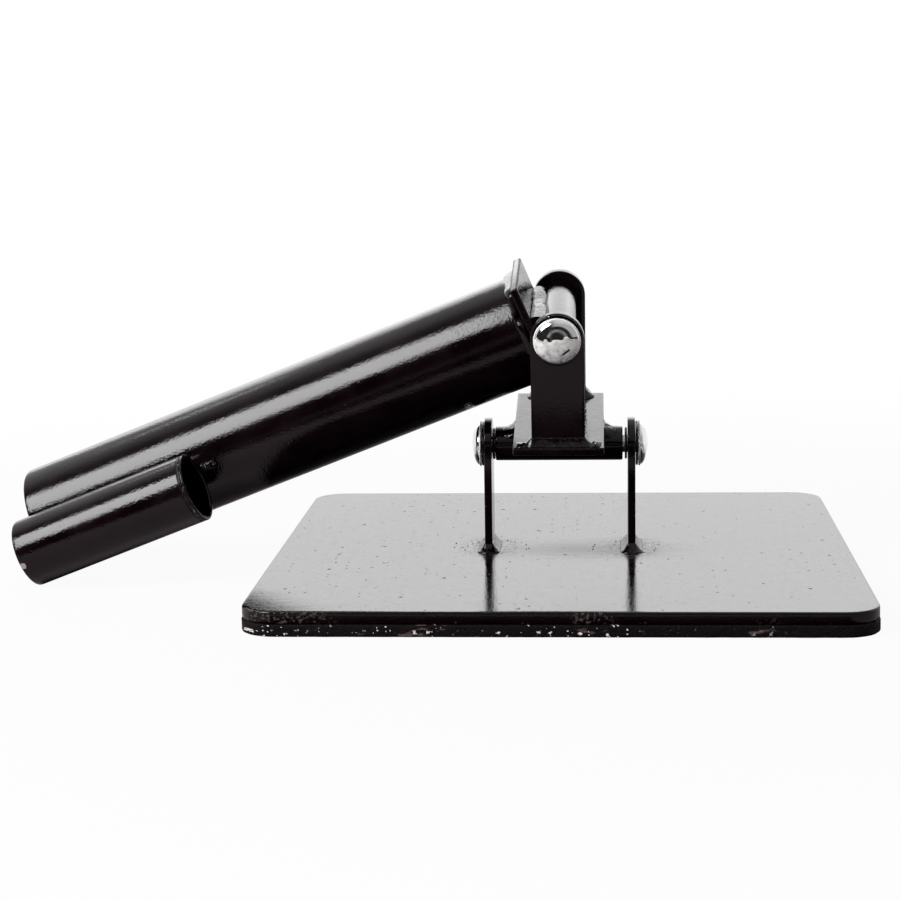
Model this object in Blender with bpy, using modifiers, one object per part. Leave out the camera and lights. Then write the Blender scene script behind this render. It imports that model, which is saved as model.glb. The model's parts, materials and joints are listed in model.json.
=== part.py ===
"""A floor base that holds one end of a barbell and lets it swing both ways.

A square steel plate on a rubber mat carries two lugs. A saddle turns on the pin between the lugs, and a pair
of bar tubes turns on a second pin, square to the first, between the saddle's two arms.

Metres, +Z up, +X to the plate's right, the tubes point to -X. The origin is the middle of the mat's
underside.
"""

import math

import bmesh
import bpy
from mathutils import Matrix, Vector

# Clearances
WELD_GAP = 0.0003        # between two pieces that are welded, glued or pressed together
RUNNING_GAP = 0.0004     # between a pin and the sleeve that turns on it

# Plate and mat
PLATE_WIDTH = 0.305
PLATE_DEPTH = 0.305
PLATE_THICKNESS = 0.006
PLATE_CORNER = 0.018
PLATE_EDGE = 0.0009
MAT_THICKNESS = 0.006
MAT_MARGIN = 0.0005      # how far the mat shows past the plate
MAT_EDGE = 0.0006

# Flat bar of the lugs and arms
BAR_WIDTH = 0.0275
BAR_THICKNESS = 0.004
BAR_EDGE = 0.0004

# Lower pivot, which runs along X
LOWER_AXIS_HEIGHT = 0.0566    # over the plate's top face
LOWER_AXIS_X = -0.0008        # from the plate's middle
LOWER_AXIS_Y = -0.0055
LUG_SPACING = 0.0720          # between the lugs' inner faces

# Sleeves and pins
SLEEVE_DIAMETER = 0.0182
SLEEVE_PLAY = 0.0008          # end to end, past the gaps beside the spacers
SLEEVE_CHAMFER = 0.0010
PIN_DIAMETER = 0.010
PIN_CHAMFER = 0.0008
SPACER_THICKNESS = 0.0012
SPACER_STEP = 0.0007          # how far a spacer's rim lies inside the sleeve's

# Saddle, between the two pivots
SADDLE_SIDE_ROOM = 0.0125     # from the saddle's side to the lug beside it
SADDLE_THICKNESS = 0.004
SADDLE_MARGIN = 0.0028        # how far the saddle shows past an arm's outer face
PIVOT_SPACING = 0.0711        # from the lower axis up to the upper one
TUBE_SIDE_ROOM = 0.0070       # from the large tube to the arm beside it

# Tubes
LARGE_TUBE_DIAMETER = 0.057
LARGE_TUBE_WALL = 0.0025
LARGE_TUBE_LENGTH = 0.2889
SMALL_TUBE_DIAMETER = 0.0363
SMALL_TUBE_WALL = 0.0025
SMALL_TUBE_LENGTH = 0.100
TUBE_CHAMFER = 0.0006
LIP_WIDTH = 0.0022            # of the rim that a groove sets off at the small tube's inner end
GROOVE_DEPTH = 0.0004

# Plate that closes the large tube and carries its sleeve
END_PLATE_LEDGE = 0.00125     # how far the plate shows past the tube, above and below
END_PLATE_SIDE_STEP = 0.0004  # how far the plate's front and rear sides lie inside the tube's
END_PLATE_THICKNESS = 0.004
END_PLATE_ROOT = 0.0009       # between the upper sleeve and the plate, filled with weld

# Washers, lock rings and dome caps on the pins' ends
UPPER_WASHER_STEP = 0.0003    # how far an upper washer's rim lies inside the arm's round top
LOWER_WASHER_STEP = 0.0003    # how far a lower washer's rim lies inside the cap's
WASHER_THICKNESS = 0.0012
CAP_DIAMETER = 0.0242
CAP_HEIGHT = 0.005
CAP_WALL = 0.0007
CAP_RIM = 0.0008              # height of the cap's straight rim
LOCK_RING_THICKNESS = 0.0008
LOCK_RING_RISE = 0.0007
PIN_TIP_CLEARANCE = 0.0006    # under the dome

# Weld beads
FOOT_WELD_TAPER = 0.8         # share of its flare that a foot bead draws in at its top
LUG_WELD_HEIGHT = 0.0045
LUG_WELD_FLARE = 0.0040
ARM_WELD_HEIGHT = 0.0045
ARM_WELD_FLARE = 0.0045
SADDLE_WELD_REACH = 0.0064    # out along the lower sleeve from the saddle's side
SADDLE_WELD_INSET = 0.0016    # from the sleeve's front and rear to the bead's ends
SLEEVE_WELD_INSET = 0.002     # from the end plate's sides to the bead's ends
SLEEVE_WELD_TOP = 0.0115      # from the upper axis, up the end plate
SLEEVE_WELD_FOOT = 0.002      # from the upper axis to the bead's nearest edge
TUBE_WELD_HEIGHT = 0.0016     # out from the large tube, at its end
TUBE_WELD_REACH = 0.0036      # along the large tube
TUBE_WELD_CROWN = 0.9         # share of its height that the bead has halfway along
TACK_LENGTH = 0.010
TACK_WIDTH = 0.007
TACK_HEIGHT = 0.0045
MOUTH_TACK_RISE = 0.0076      # over the line where the tubes meet
INNER_TACK_RISE = 0.0030
INNER_TACK_REACH = 0.0045     # from the small tube's inner end to the bead's middle

# Facets of the round pieces
TUBE_SIDES = 64
SLEEVE_SIDES = 32
CAP_SIDES = 32
CAP_STEPS = 5
HOLE_SIDES = 24
ARC_STEPS = 16
CORNER_STEPS = 6
FILLET_STEPS = 4
LUMP_SIDES = 14
LUMP_RINGS = 8

# Sizes that follow from the ones above
MAT_TOP = MAT_THICKNESS
PLATE_TOP = MAT_TOP + WELD_GAP + PLATE_THICKNESS
LOWER_AXIS = Vector((LOWER_AXIS_X, LOWER_AXIS_Y, PLATE_TOP + LOWER_AXIS_HEIGHT))
LARGE_RADIUS = LARGE_TUBE_DIAMETER / 2
SMALL_RADIUS = SMALL_TUBE_DIAMETER / 2
SLEEVE_RADIUS = SLEEVE_DIAMETER / 2
SPACER_RADIUS = SLEEVE_RADIUS - SPACER_STEP
PIN_RADIUS = PIN_DIAMETER / 2
PIN_HOLE_RADIUS = PIN_RADIUS + WELD_GAP
ARM_SPACING = LARGE_TUBE_DIAMETER + 2 * TUBE_SIDE_ROOM
END_ROOM = SPACER_THICKNESS + 2 * WELD_GAP
LOWER_SLEEVE_LENGTH = LUG_SPACING - 2 * END_ROOM - SLEEVE_PLAY
UPPER_SLEEVE_LENGTH = ARM_SPACING - 2 * END_ROOM - SLEEVE_PLAY
SADDLE_WIDTH = LUG_SPACING - 2 * SADDLE_SIDE_ROOM
SADDLE_LENGTH = ARM_SPACING + 2 * BAR_THICKNESS + 2 * SADDLE_MARGIN
SADDLE_BASE = SLEEVE_RADIUS + WELD_GAP
SADDLE_TOP = SADDLE_BASE + SADDLE_THICKNESS
LUG_X = (LUG_SPACING + BAR_THICKNESS) / 2
ARM_Y = (ARM_SPACING + BAR_THICKNESS) / 2
END_PLATE_HEIGHT = LARGE_TUBE_DIAMETER + 2 * END_PLATE_LEDGE
END_PLATE_WIDTH = LARGE_TUBE_DIAMETER - 2 * END_PLATE_SIDE_STEP
END_PLATE_NEAR = -SLEEVE_RADIUS - END_PLATE_ROOT
END_PLATE_FAR = END_PLATE_NEAR - END_PLATE_THICKNESS
LARGE_TUBE_START = END_PLATE_FAR - WELD_GAP
TUBE_MOUTH = LARGE_TUBE_START - LARGE_TUBE_LENGTH
SMALL_TUBE_START = TUBE_MOUTH + SMALL_TUBE_LENGTH
SMALL_TUBE_SIDE = LARGE_RADIUS + WELD_GAP + SMALL_RADIUS


def resting_angles():
    """How far the saddle leans to the front and the tubes slope down when both tube ends lie on the floor."""
    lean, slope = math.radians(10), math.radians(20)
    for _ in range(40):
        across = math.sqrt(1 - (math.sin(slope) * math.cos(lean)) ** 2)
        lean = math.asin((LARGE_RADIUS - SMALL_RADIUS) * across / SMALL_TUBE_SIDE)
        drop = LOWER_AXIS.z + PIVOT_SPACING * math.cos(lean) - LARGE_RADIUS * across - WELD_GAP
        slope = math.asin(drop / (-TUBE_MOUTH * math.cos(lean)))
    return lean, slope


LEAN, SLOPE = resting_angles()

# Turns a piece made along Z so that it lies along X or along Y
ALONG_X = Matrix.Rotation(math.radians(90), 4, "Y")
ALONG_Y = Matrix.Rotation(math.radians(-90), 4, "X")


def clear_scene():
    for obj in list(bpy.data.objects):
        bpy.data.objects.remove(obj, do_unlink=True)


def new_collection(name):
    collection = bpy.data.collections.new(name)
    bpy.context.scene.collection.children.link(collection)
    return collection


def material(name, color, roughness, metallic):
    mat = bpy.data.materials.new(name)
    mat.use_nodes = True
    shader = mat.node_tree.nodes["Principled BSDF"]
    shader.inputs["Base Color"].default_value = (*color, 1)
    shader.inputs["Roughness"].default_value = roughness
    shader.inputs["Metallic"].default_value = metallic
    return mat


def add(name, data, mat, parent, place=Matrix.Identity(4)):
    """Puts a mesh or curve into the part's collection, at a place in its parent's frame."""
    obj = bpy.data.objects.new(name, data)
    PARTS.objects.link(obj)
    obj.data.materials.append(mat)
    obj.parent = parent
    obj.matrix_local = place
    return obj


def pivot(name, place, parent=None):
    """An empty on a joint's axis, which carries the pieces that turn there."""
    empty = bpy.data.objects.new(name, None)
    PARTS.objects.link(empty)
    empty.parent = parent
    empty.matrix_local = place
    return empty


def box_mesh(name, low, high, taper=0.0):
    """A box between two corners; taper draws its top in on every side."""
    low, high = Vector(low), Vector(high)
    bm = bmesh.new()
    place = Matrix.Translation((low + high) / 2) @ Matrix.Diagonal((*(high - low), 1))
    bmesh.ops.create_cube(bm, size=1, matrix=place)
    middle = (low + high) / 2
    for vert in bm.verts:
        if taper and vert.co.z > middle.z:
            vert.co.x -= math.copysign(taper, vert.co.x - middle.x)
            vert.co.y -= math.copysign(taper, vert.co.y - middle.y)
    mesh = bpy.data.meshes.new(name)
    bm.to_mesh(mesh)
    bm.free()
    return mesh


def rod_mesh(name, radius, low, high, sides):
    """A plain round bar along Z."""
    bm = bmesh.new()
    middle = Matrix.Translation((0, 0, (low + high) / 2))
    bmesh.ops.create_cone(bm, cap_ends=True, segments=sides, radius1=radius, radius2=radius,
                          depth=high - low, matrix=middle)
    mesh = bpy.data.meshes.new(name)
    bm.to_mesh(mesh)
    bm.free()
    return mesh


def lump_mesh(name, length, width, height):
    """An ellipsoid, for a short weld bead."""
    bm = bmesh.new()
    size = Matrix.Diagonal((length, width, height, 1))
    bmesh.ops.create_uvsphere(bm, u_segments=LUMP_SIDES, v_segments=LUMP_RINGS, radius=0.5, matrix=size)
    mesh = bpy.data.meshes.new(name)
    bm.to_mesh(mesh)
    bm.free()
    return mesh


def turned(name, profile, closed, sides, mat, parent, place):
    """A turned piece around its own Z. The profile's (radius, height) points run down its outer side."""
    mesh = bpy.data.meshes.new(name)
    edges = [(i, i + 1) for i in range(len(profile) - 1)]
    if closed:
        edges.append((len(profile) - 1, 0))
    mesh.from_pydata([(radius, 0, height) for radius, height in profile], edges, [])
    obj = add(name, mesh, mat, parent, place)
    screw = obj.modifiers.new("Turn", "SCREW")
    screw.axis = "Z"
    screw.angle = math.tau
    screw.steps = screw.render_steps = sides
    screw.use_merge_vertices = True
    screw.merge_threshold = 0.00002
    screw.use_smooth_shade = True
    return obj


def ring(name, inner, outer, low, high, sides, mat, parent, place, chamfer=0.0):
    """A tube or washer around its own Z, with its outer edges chamfered."""
    profile = [(outer - chamfer, high), (outer, high - chamfer), (outer, low + chamfer),
               (outer - chamfer, low), (inner, low), (inner, high)]
    if not chamfer:
        profile = [(outer, high), (outer, low), (inner, low), (inner, high)]
    turned(name, profile, True, sides, mat, parent, place)


def circle_points(radius, centre=(0, 0), sides=HOLE_SIDES):
    turn = math.tau / sides
    return [(centre[0] + radius * math.cos(i * turn), centre[1] + radius * math.sin(i * turn))
            for i in range(sides)]


def rounded_rectangle(width, depth, corner):
    points = []
    for quarter in range(4):
        start = quarter * math.pi / 2
        x = (width / 2 - corner) * (1 if quarter in (0, 3) else -1)
        y = (depth / 2 - corner) * (1 if quarter in (0, 1) else -1)
        for i in range(CORNER_STEPS + 1):
            angle = start + i * math.pi / 2 / CORNER_STEPS
            points.append((x + corner * math.cos(angle), y + corner * math.sin(angle)))
    return points


def round_topped(width, foot):
    """A bar's outline: a half circle around the origin, on straight sides that run down to its foot."""
    radius = width / 2
    points = [(radius * math.cos(i * math.pi / ARC_STEPS), radius * math.sin(i * math.pi / ARC_STEPS))
              for i in range(ARC_STEPS + 1)]
    return points + [(-radius, foot), (radius, foot)]


def flat_piece(name, outlines, thickness, edge, mat, parent, place):
    """A flat piece cut to an outline, with any holes, its middle plane on the outline and its edges eased."""
    curve = bpy.data.curves.new(name, "CURVE")
    curve.dimensions = "2D"
    curve.fill_mode = "BOTH"
    curve.extrude = thickness / 2 - edge
    curve.bevel_depth = edge
    curve.bevel_resolution = 0
    curve.offset = -edge
    for outline in outlines:
        spline = curve.splines.new("POLY")
        spline.points.add(len(outline) - 1)
        for point, (x, y) in zip(spline.points, outline):
            point.co = (x, y, 0, 1)
        spline.use_cyclic_u = True
    return add(name, curve, mat, parent, place)


def as_mesh(obj):
    """Makes a curve object a welded mesh object of the same name and place."""
    depsgraph = bpy.context.evaluated_depsgraph_get()
    mesh = bpy.data.meshes.new_from_object(obj.evaluated_get(depsgraph))
    bm = bmesh.new()
    bm.from_mesh(mesh)
    bmesh.ops.remove_doubles(bm, verts=bm.verts, dist=0.00001)
    bm.to_mesh(mesh)
    bm.free()
    name, parent, place = obj.name, obj.parent, obj.matrix_local.copy()
    bpy.data.objects.remove(obj)
    solid = bpy.data.objects.new(name, mesh)
    PARTS.objects.link(solid)
    solid.parent = parent
    solid.matrix_local = place
    return solid


def cut(obj, name, mesh, place):
    """Cuts a piece with a hidden cutter that sits in the same frame as the piece."""
    cutter = bpy.data.objects.new(name, mesh)
    CUTTERS.objects.link(cutter)
    cutter.parent = obj.parent
    cutter.matrix_local = place
    cutter.hide_render = True
    cutter.display_type = "WIRE"
    boolean = obj.modifiers.new(name, "BOOLEAN")
    boolean.operation = "DIFFERENCE"
    boolean.solver = "EXACT"
    boolean.object = cutter


def foot_weld(name, size, height, flare, parent, place, front_room=None):
    """A bead around the foot of a bar whose section is size, on the face at z = 0 of place."""
    half = Vector((size[0] / 2, size[1] / 2))
    front = flare if front_room is None else min(flare, front_room)
    low = (-half.x - flare, -half.y - front, WELD_GAP)
    high = (half.x + flare, half.y + flare, WELD_GAP + height)
    mesh = box_mesh(name, low, high, taper=min(flare, front) * FOOT_WELD_TAPER)
    weld = add(name, mesh, PAINT, parent, place)
    room = half + Vector((WELD_GAP, WELD_GAP))
    hole = box_mesh(name + "_cutter", (-room.x, -room.y, -height), (room.x, room.y, 2 * height))
    cut(weld, name + "_cutter", hole, place)


def axle(name, reach, parent, place):
    """A round pin with chamfered ends."""
    half = [(0, reach), (PIN_RADIUS - PIN_CHAMFER, reach), (PIN_RADIUS, reach - PIN_CHAMFER)]
    profile = half + [(radius, -height) for radius, height in reversed(half)]
    turned(name, profile, False, SLEEVE_SIDES, STEEL, parent, place)


def dome_cap(name, parent, place):
    """A pressed cap, hollow and open at its back, whose rim stands on z = 0."""
    radius, rise = CAP_DIAMETER / 2, CAP_HEIGHT - CAP_RIM
    quarter = [i * math.pi / 2 / CAP_STEPS for i in range(CAP_STEPS + 1)]
    outside = [(radius * math.sin(angle), CAP_RIM + rise * math.cos(angle)) for angle in quarter]
    inner_radius, inner_rise = radius - CAP_WALL, rise - CAP_WALL
    inside = [(inner_radius * math.sin(angle), CAP_RIM + inner_rise * math.cos(angle)) for angle in quarter]
    profile = outside + [(radius, 0), (inner_radius, 0)] + inside[::-1]
    turned(name, profile, False, CAP_SIDES, CHROME, parent, place)


def lock_ring(name, parent, place):
    """The dished spring ring that grips the pin under a cap, its rim on z = 0."""
    outer = CAP_DIAMETER / 2 - CAP_WALL - WELD_GAP
    inner = PIN_RADIUS + WELD_GAP
    profile = [(outer, LOCK_RING_THICKNESS), (outer, 0),
               (inner, LOCK_RING_RISE), (inner, LOCK_RING_RISE + LOCK_RING_THICKNESS)]
    turned(name, profile, True, CAP_SIDES, STEEL, parent, place)


def pin_end(end, washer_radius, parent, face):
    """Washer, lock ring and cap on one end of a pin, stacked outward along Z from a bar's outer face."""
    washer_low = WELD_GAP
    washer_high = washer_low + WASHER_THICKNESS
    ring(end + "_washer", PIN_HOLE_RADIUS, washer_radius, washer_low, washer_high, CAP_SIDES,
         PAINT, parent, face)
    seat = face @ Matrix.Translation((0, 0, washer_high + WELD_GAP))
    lock_ring(end + "_lock_ring", parent, seat)
    dome_cap(end + "_cap", parent, seat)


def pin_reach(outer_face):
    """How far a pin runs from its middle so that its tip ends just under the dome."""
    dome = CAP_HEIGHT - CAP_WALL - PIN_TIP_CLEARANCE
    return outer_face + WELD_GAP + WASHER_THICKNESS + WELD_GAP + dome


def upright(x, y, z):
    """Stands an outline drawn in X and Y up in the plane of X and Z, at a point."""
    return Matrix.Translation((x, y, z)) @ Matrix.Rotation(math.radians(90), 4, "X")


def build_base():
    """Mat, plate, lugs and everything on the lower pin that stays with the lugs."""
    mat_outline = rounded_rectangle(PLATE_WIDTH + 2 * MAT_MARGIN, PLATE_DEPTH + 2 * MAT_MARGIN,
                                    PLATE_CORNER + MAT_MARGIN)
    flat_piece("rubber_mat", [mat_outline], MAT_THICKNESS, MAT_EDGE, RUBBER, None,
               Matrix.Translation((0, 0, MAT_THICKNESS / 2)))
    flat_piece("base_plate", [rounded_rectangle(PLATE_WIDTH, PLATE_DEPTH, PLATE_CORNER)],
               PLATE_THICKNESS, PLATE_EDGE, PAINT, None,
               Matrix.Translation((0, 0, PLATE_TOP - PLATE_THICKNESS / 2)))
    outline = round_topped(BAR_WIDTH, WELD_GAP - LOWER_AXIS_HEIGHT)
    quarter_turn = Matrix.Rotation(math.radians(90), 4, "Z")
    for side, sign in (("left", -1), ("right", 1)):
        middle = Matrix.Translation(LOWER_AXIS + Vector((sign * LUG_X, 0, 0)))
        flat_piece(side + "_lug", [outline, circle_points(PIN_HOLE_RADIUS)], BAR_THICKNESS, BAR_EDGE,
                   PAINT, None, middle @ quarter_turn @ upright(0, 0, 0))
        foot = Matrix.Translation((LOWER_AXIS.x + sign * LUG_X, LOWER_AXIS.y, PLATE_TOP))
        foot_weld(side + "_lug_weld", (BAR_THICKNESS, BAR_WIDTH), LUG_WELD_HEIGHT, LUG_WELD_FLARE, None, foot)
        outward = Matrix.Translation(LOWER_AXIS) @ Matrix.Rotation(math.radians(90 * sign), 4, "Y")
        face = outward @ Matrix.Translation((0, 0, LUG_X + BAR_THICKNESS / 2))
        pin_end("lower_" + side, CAP_DIAMETER / 2 - LOWER_WASHER_STEP, None, face)
        spacer_high = LUG_SPACING / 2 - WELD_GAP
        ring("lower_" + side + "_spacer", PIN_HOLE_RADIUS, SPACER_RADIUS,
             spacer_high - SPACER_THICKNESS, spacer_high, CAP_SIDES, PAINT, None, outward)
    reach = pin_reach(LUG_X + BAR_THICKNESS / 2)
    axle("lower_pin", reach, None, Matrix.Translation(LOWER_AXIS) @ ALONG_X)


def build_saddle(saddle):
    """Sleeve, saddle plate, arms and everything on the upper pin that stays with the arms."""
    left_end = END_ROOM - LUG_SPACING / 2
    ring("lower_sleeve", PIN_RADIUS + RUNNING_GAP, SLEEVE_RADIUS, left_end, left_end + LOWER_SLEEVE_LENGTH,
         SLEEVE_SIDES, PAINT, saddle, ALONG_X, SLEEVE_CHAMFER)
    flat_piece("saddle_plate", [rounded_rectangle(SADDLE_WIDTH, SADDLE_LENGTH, BAR_EDGE * 2)],
               SADDLE_THICKNESS, BAR_EDGE, PAINT, saddle,
               Matrix.Translation((0, 0, SADDLE_BASE + SADDLE_THICKNESS / 2)))
    outline = round_topped(BAR_WIDTH, SADDLE_TOP + WELD_GAP - PIVOT_SPACING)
    room = (SADDLE_LENGTH - ARM_SPACING) / 2 - BAR_THICKNESS - WELD_GAP
    for end, sign in (("front", -1), ("rear", 1)):
        flat_piece(end + "_arm", [outline, circle_points(PIN_HOLE_RADIUS)], BAR_THICKNESS, BAR_EDGE,
                   PAINT, saddle, upright(0, sign * ARM_Y, PIVOT_SPACING))
        foot = Matrix.Translation((0, sign * ARM_Y, SADDLE_TOP))
        if sign > 0:
            foot = foot @ Matrix.Rotation(math.pi, 4, "Z")
        foot_weld(end + "_arm_weld", (BAR_WIDTH, BAR_THICKNESS), ARM_WELD_HEIGHT, ARM_WELD_FLARE, saddle,
                  foot, front_room=room)
        outward = Matrix.Rotation(math.radians(-90 * sign), 4, "X")
        outward = Matrix.Translation((0, 0, PIVOT_SPACING)) @ outward
        face = outward @ Matrix.Translation((0, 0, ARM_Y + BAR_THICKNESS / 2))
        pin_end("upper_" + end, BAR_WIDTH / 2 - UPPER_WASHER_STEP, saddle, face)
        spacer_high = ARM_SPACING / 2 - WELD_GAP
        ring("upper_" + end + "_spacer", PIN_HOLE_RADIUS, SPACER_RADIUS,
             spacer_high - SPACER_THICKNESS, spacer_high, CAP_SIDES, PAINT, saddle, outward)
    for side, sign in (("left", -1), ("right", 1)):
        saddle_weld(side, sign, saddle)
    reach = pin_reach(ARM_Y + BAR_THICKNESS / 2)
    axle("upper_pin", reach, saddle, Matrix.Translation((0, 0, PIVOT_SPACING)) @ ALONG_Y)


def saddle_weld(side, sign, saddle):
    """A hollow fillet from the saddle plate's side down to the top of the sleeve under it."""
    near = SADDLE_WIDTH / 2 + WELD_GAP
    rise = SADDLE_TOP - SLEEVE_RADIUS
    outline = [(near, 0), (near, SADDLE_TOP)]
    for i in range(1, FILLET_STEPS + 1):
        angle = i * math.pi / 2 / FILLET_STEPS
        side_way = near + SADDLE_WELD_REACH * (1 - math.cos(angle))
        outline.append((side_way, SADDLE_TOP - rise * math.sin(angle)))
    outline.append((near + SADDLE_WELD_REACH, 0))
    outline = [(sign * x, z) for x, z in outline]
    length = SLEEVE_DIAMETER - 2 * SADDLE_WELD_INSET
    weld = flat_piece(side + "_saddle_weld", [outline], length, 0, PAINT, saddle, upright(0, 0, 0))
    weld = as_mesh(weld)
    cutter = rod_mesh("sleeve_cutter_" + side, SLEEVE_RADIUS + WELD_GAP, -LUG_SPACING, LUG_SPACING,
                      SLEEVE_SIDES)
    cut(weld, cutter.name, cutter, ALONG_X)
    floor = box_mesh("under_cutter_" + side, (-SADDLE_WIDTH, -length, -length),
                     (SADDLE_WIDTH, length, SLEEVE_RADIUS / 2))
    cut(weld, floor.name, floor, Matrix.Identity(4))


def build_tubes(tubes):
    """The upper sleeve, the plate that joins it to the large tube, and both tubes."""
    half = UPPER_SLEEVE_LENGTH / 2
    ring("upper_sleeve", PIN_RADIUS + RUNNING_GAP, SLEEVE_RADIUS, -half, half, SLEEVE_SIDES, PAINT, tubes,
         ALONG_Y, SLEEVE_CHAMFER)
    plate_place = Matrix.Translation(((END_PLATE_NEAR + END_PLATE_FAR) / 2, 0, 0)) @ ALONG_X
    flat_piece("tube_end_plate", [rounded_rectangle(END_PLATE_HEIGHT, END_PLATE_WIDTH, BAR_EDGE * 2)],
               END_PLATE_THICKNESS, BAR_EDGE, PAINT, tubes, plate_place)
    ring("large_tube", LARGE_RADIUS - LARGE_TUBE_WALL, LARGE_RADIUS, TUBE_MOUTH, LARGE_TUBE_START,
         TUBE_SIDES, PAINT, tubes, ALONG_X, TUBE_CHAMFER)
    small_tube(tubes)
    for name, sign in (("upper", 1), ("lower", -1)):
        sleeve_weld(name, sign, tubes)
    tube_weld(tubes)
    tack_welds(tubes)


def small_tube(tubes):
    """The narrow tube beside the large one, with a grooved lip at its inner end."""
    outer, inner = SMALL_RADIUS, SMALL_RADIUS - SMALL_TUBE_WALL
    groove = SMALL_TUBE_START - LIP_WIDTH
    profile = [(outer - TUBE_CHAMFER, SMALL_TUBE_START), (outer, SMALL_TUBE_START - TUBE_CHAMFER),
               (outer, groove), (outer - GROOVE_DEPTH, groove - GROOVE_DEPTH),
               (outer, groove - 2 * GROOVE_DEPTH), (outer, TUBE_MOUTH + TUBE_CHAMFER),
               (outer - TUBE_CHAMFER, TUBE_MOUTH), (inner, TUBE_MOUTH), (inner, SMALL_TUBE_START)]
    turned("small_tube", profile, True, TUBE_SIDES, PAINT, tubes,
           Matrix.Translation((0, -SMALL_TUBE_SIDE, 0)) @ ALONG_X)


def sleeve_weld(name, sign, tubes):
    """A fillet in the corner between the upper sleeve and the end plate."""
    face = END_PLATE_NEAR + WELD_GAP
    outline = [(face, sign * SLEEVE_WELD_FOOT), (face, sign * SLEEVE_WELD_TOP),
               (face / 2, sign * (SLEEVE_RADIUS + WELD_GAP)), (face / 2, sign * SLEEVE_WELD_FOOT)]
    length = END_PLATE_WIDTH - 2 * SLEEVE_WELD_INSET
    weld = flat_piece("end_plate_weld_" + name, [outline], length, 0, PAINT, tubes, upright(0, 0, 0))
    weld = as_mesh(weld)
    cutter = rod_mesh("upper_sleeve_cutter_" + name, SLEEVE_RADIUS + WELD_GAP, -length, length, SLEEVE_SIDES)
    cut(weld, cutter.name, cutter, ALONG_Y)


def tube_weld(tubes):
    """The crowned bead around the large tube's end, in the corner behind the end plate."""
    face = END_PLATE_FAR - WELD_GAP
    seat = LARGE_RADIUS + WELD_GAP
    rise = TUBE_WELD_HEIGHT - WELD_GAP
    profile = [(seat + rise, face), (seat + rise * TUBE_WELD_CROWN, face - TUBE_WELD_REACH / 2),
               (seat, face - TUBE_WELD_REACH), (seat, face)]
    turned("tube_end_weld", profile, True, TUBE_SIDES, PAINT, tubes, ALONG_X)


def tack_welds(tubes):
    """Two short beads that join the tubes, one near their mouths and one at the small tube's inner end."""
    places = {"mouth_tack_weld": (TUBE_MOUTH + TACK_LENGTH, -LARGE_RADIUS, MOUTH_TACK_RISE),
              "inner_tack_weld": (SMALL_TUBE_START + INNER_TACK_REACH, -LARGE_RADIUS, INNER_TACK_RISE)}
    large = rod_mesh("large_tack_cutter", LARGE_RADIUS + WELD_GAP, TUBE_MOUTH, LARGE_TUBE_START, TUBE_SIDES)
    small = rod_mesh("small_tack_cutter", SMALL_RADIUS + WELD_GAP, TUBE_MOUTH - TACK_LENGTH,
                     SMALL_TUBE_START + WELD_GAP, TUBE_SIDES)
    beside = Matrix.Translation((0, -SMALL_TUBE_SIDE, 0)) @ ALONG_X
    for name, middle in places.items():
        mesh = lump_mesh(name, TACK_LENGTH, TACK_WIDTH, TACK_HEIGHT)
        weld = add(name, mesh, PAINT, tubes, Matrix.Translation(middle))
        cut(weld, name + "_large_cutter", large, ALONG_X)
        cut(weld, name + "_small_cutter", small, beside)


clear_scene()
PARTS = new_collection("barbell_pivot_base")
CUTTERS = new_collection("cutters")
PAINT = material("black_paint", (0.012, 0.010, 0.010), 0.18, 0.0)
CHROME = material("chrome", (0.80, 0.80, 0.79), 0.08, 1.0)
STEEL = material("zinc_steel", (0.55, 0.55, 0.54), 0.30, 1.0)
RUBBER = material("black_rubber", (0.020, 0.018, 0.018), 0.75, 0.0)

build_base()
saddle_pivot = pivot("saddle_pivot", Matrix.Translation(LOWER_AXIS) @ Matrix.Rotation(LEAN, 4, "X"))
build_saddle(saddle_pivot)
tube_pivot = pivot("tube_pivot", Matrix.Translation((0, 0, PIVOT_SPACING)) @ Matrix.Rotation(-SLOPE, 4, "Y"),
                   saddle_pivot)
build_tubes(tube_pivot)
bpy.context.view_layer.update()
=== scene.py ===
"""The looks of a barbell pivot attachment: gloss black paint, weld beads, chrome caps and a rubber mat.

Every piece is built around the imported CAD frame, from its own sizes. Lengths are in metres.
"""
import json
import math

import bmesh
import bpy
from mathutils import Matrix, Vector, noise


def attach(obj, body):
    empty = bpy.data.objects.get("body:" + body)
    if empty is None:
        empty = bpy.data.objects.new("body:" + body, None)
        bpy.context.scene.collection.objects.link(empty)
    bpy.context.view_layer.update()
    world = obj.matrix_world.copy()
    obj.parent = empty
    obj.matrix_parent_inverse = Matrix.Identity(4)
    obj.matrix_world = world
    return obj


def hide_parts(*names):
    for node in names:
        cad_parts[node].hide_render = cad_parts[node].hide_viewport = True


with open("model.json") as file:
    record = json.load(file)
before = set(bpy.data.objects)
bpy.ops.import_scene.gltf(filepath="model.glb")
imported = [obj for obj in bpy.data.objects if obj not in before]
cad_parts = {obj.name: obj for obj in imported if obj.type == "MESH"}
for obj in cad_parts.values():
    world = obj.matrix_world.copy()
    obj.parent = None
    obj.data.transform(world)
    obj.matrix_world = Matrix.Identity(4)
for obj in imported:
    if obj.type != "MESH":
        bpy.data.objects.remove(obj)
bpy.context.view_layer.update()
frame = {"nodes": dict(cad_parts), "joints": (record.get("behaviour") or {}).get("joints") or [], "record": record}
noise.seed_set(1)     # without a seed, noise_vector gives the mat another cut edge each run

MM = 0.001
MICRON = 0.000001
RECORD = frame["record"]
BODY_OF = {node: body for body, nodes in RECORD["behaviour"]["bodies"].items() for node in nodes}
JOINTS = {joint["name"]: joint for joint in frame["joints"]}
SIDE_SIGNS = (("left", -1), ("right", 1))
END_SIGNS = (("front", -1), ("rear", 1))

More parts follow.
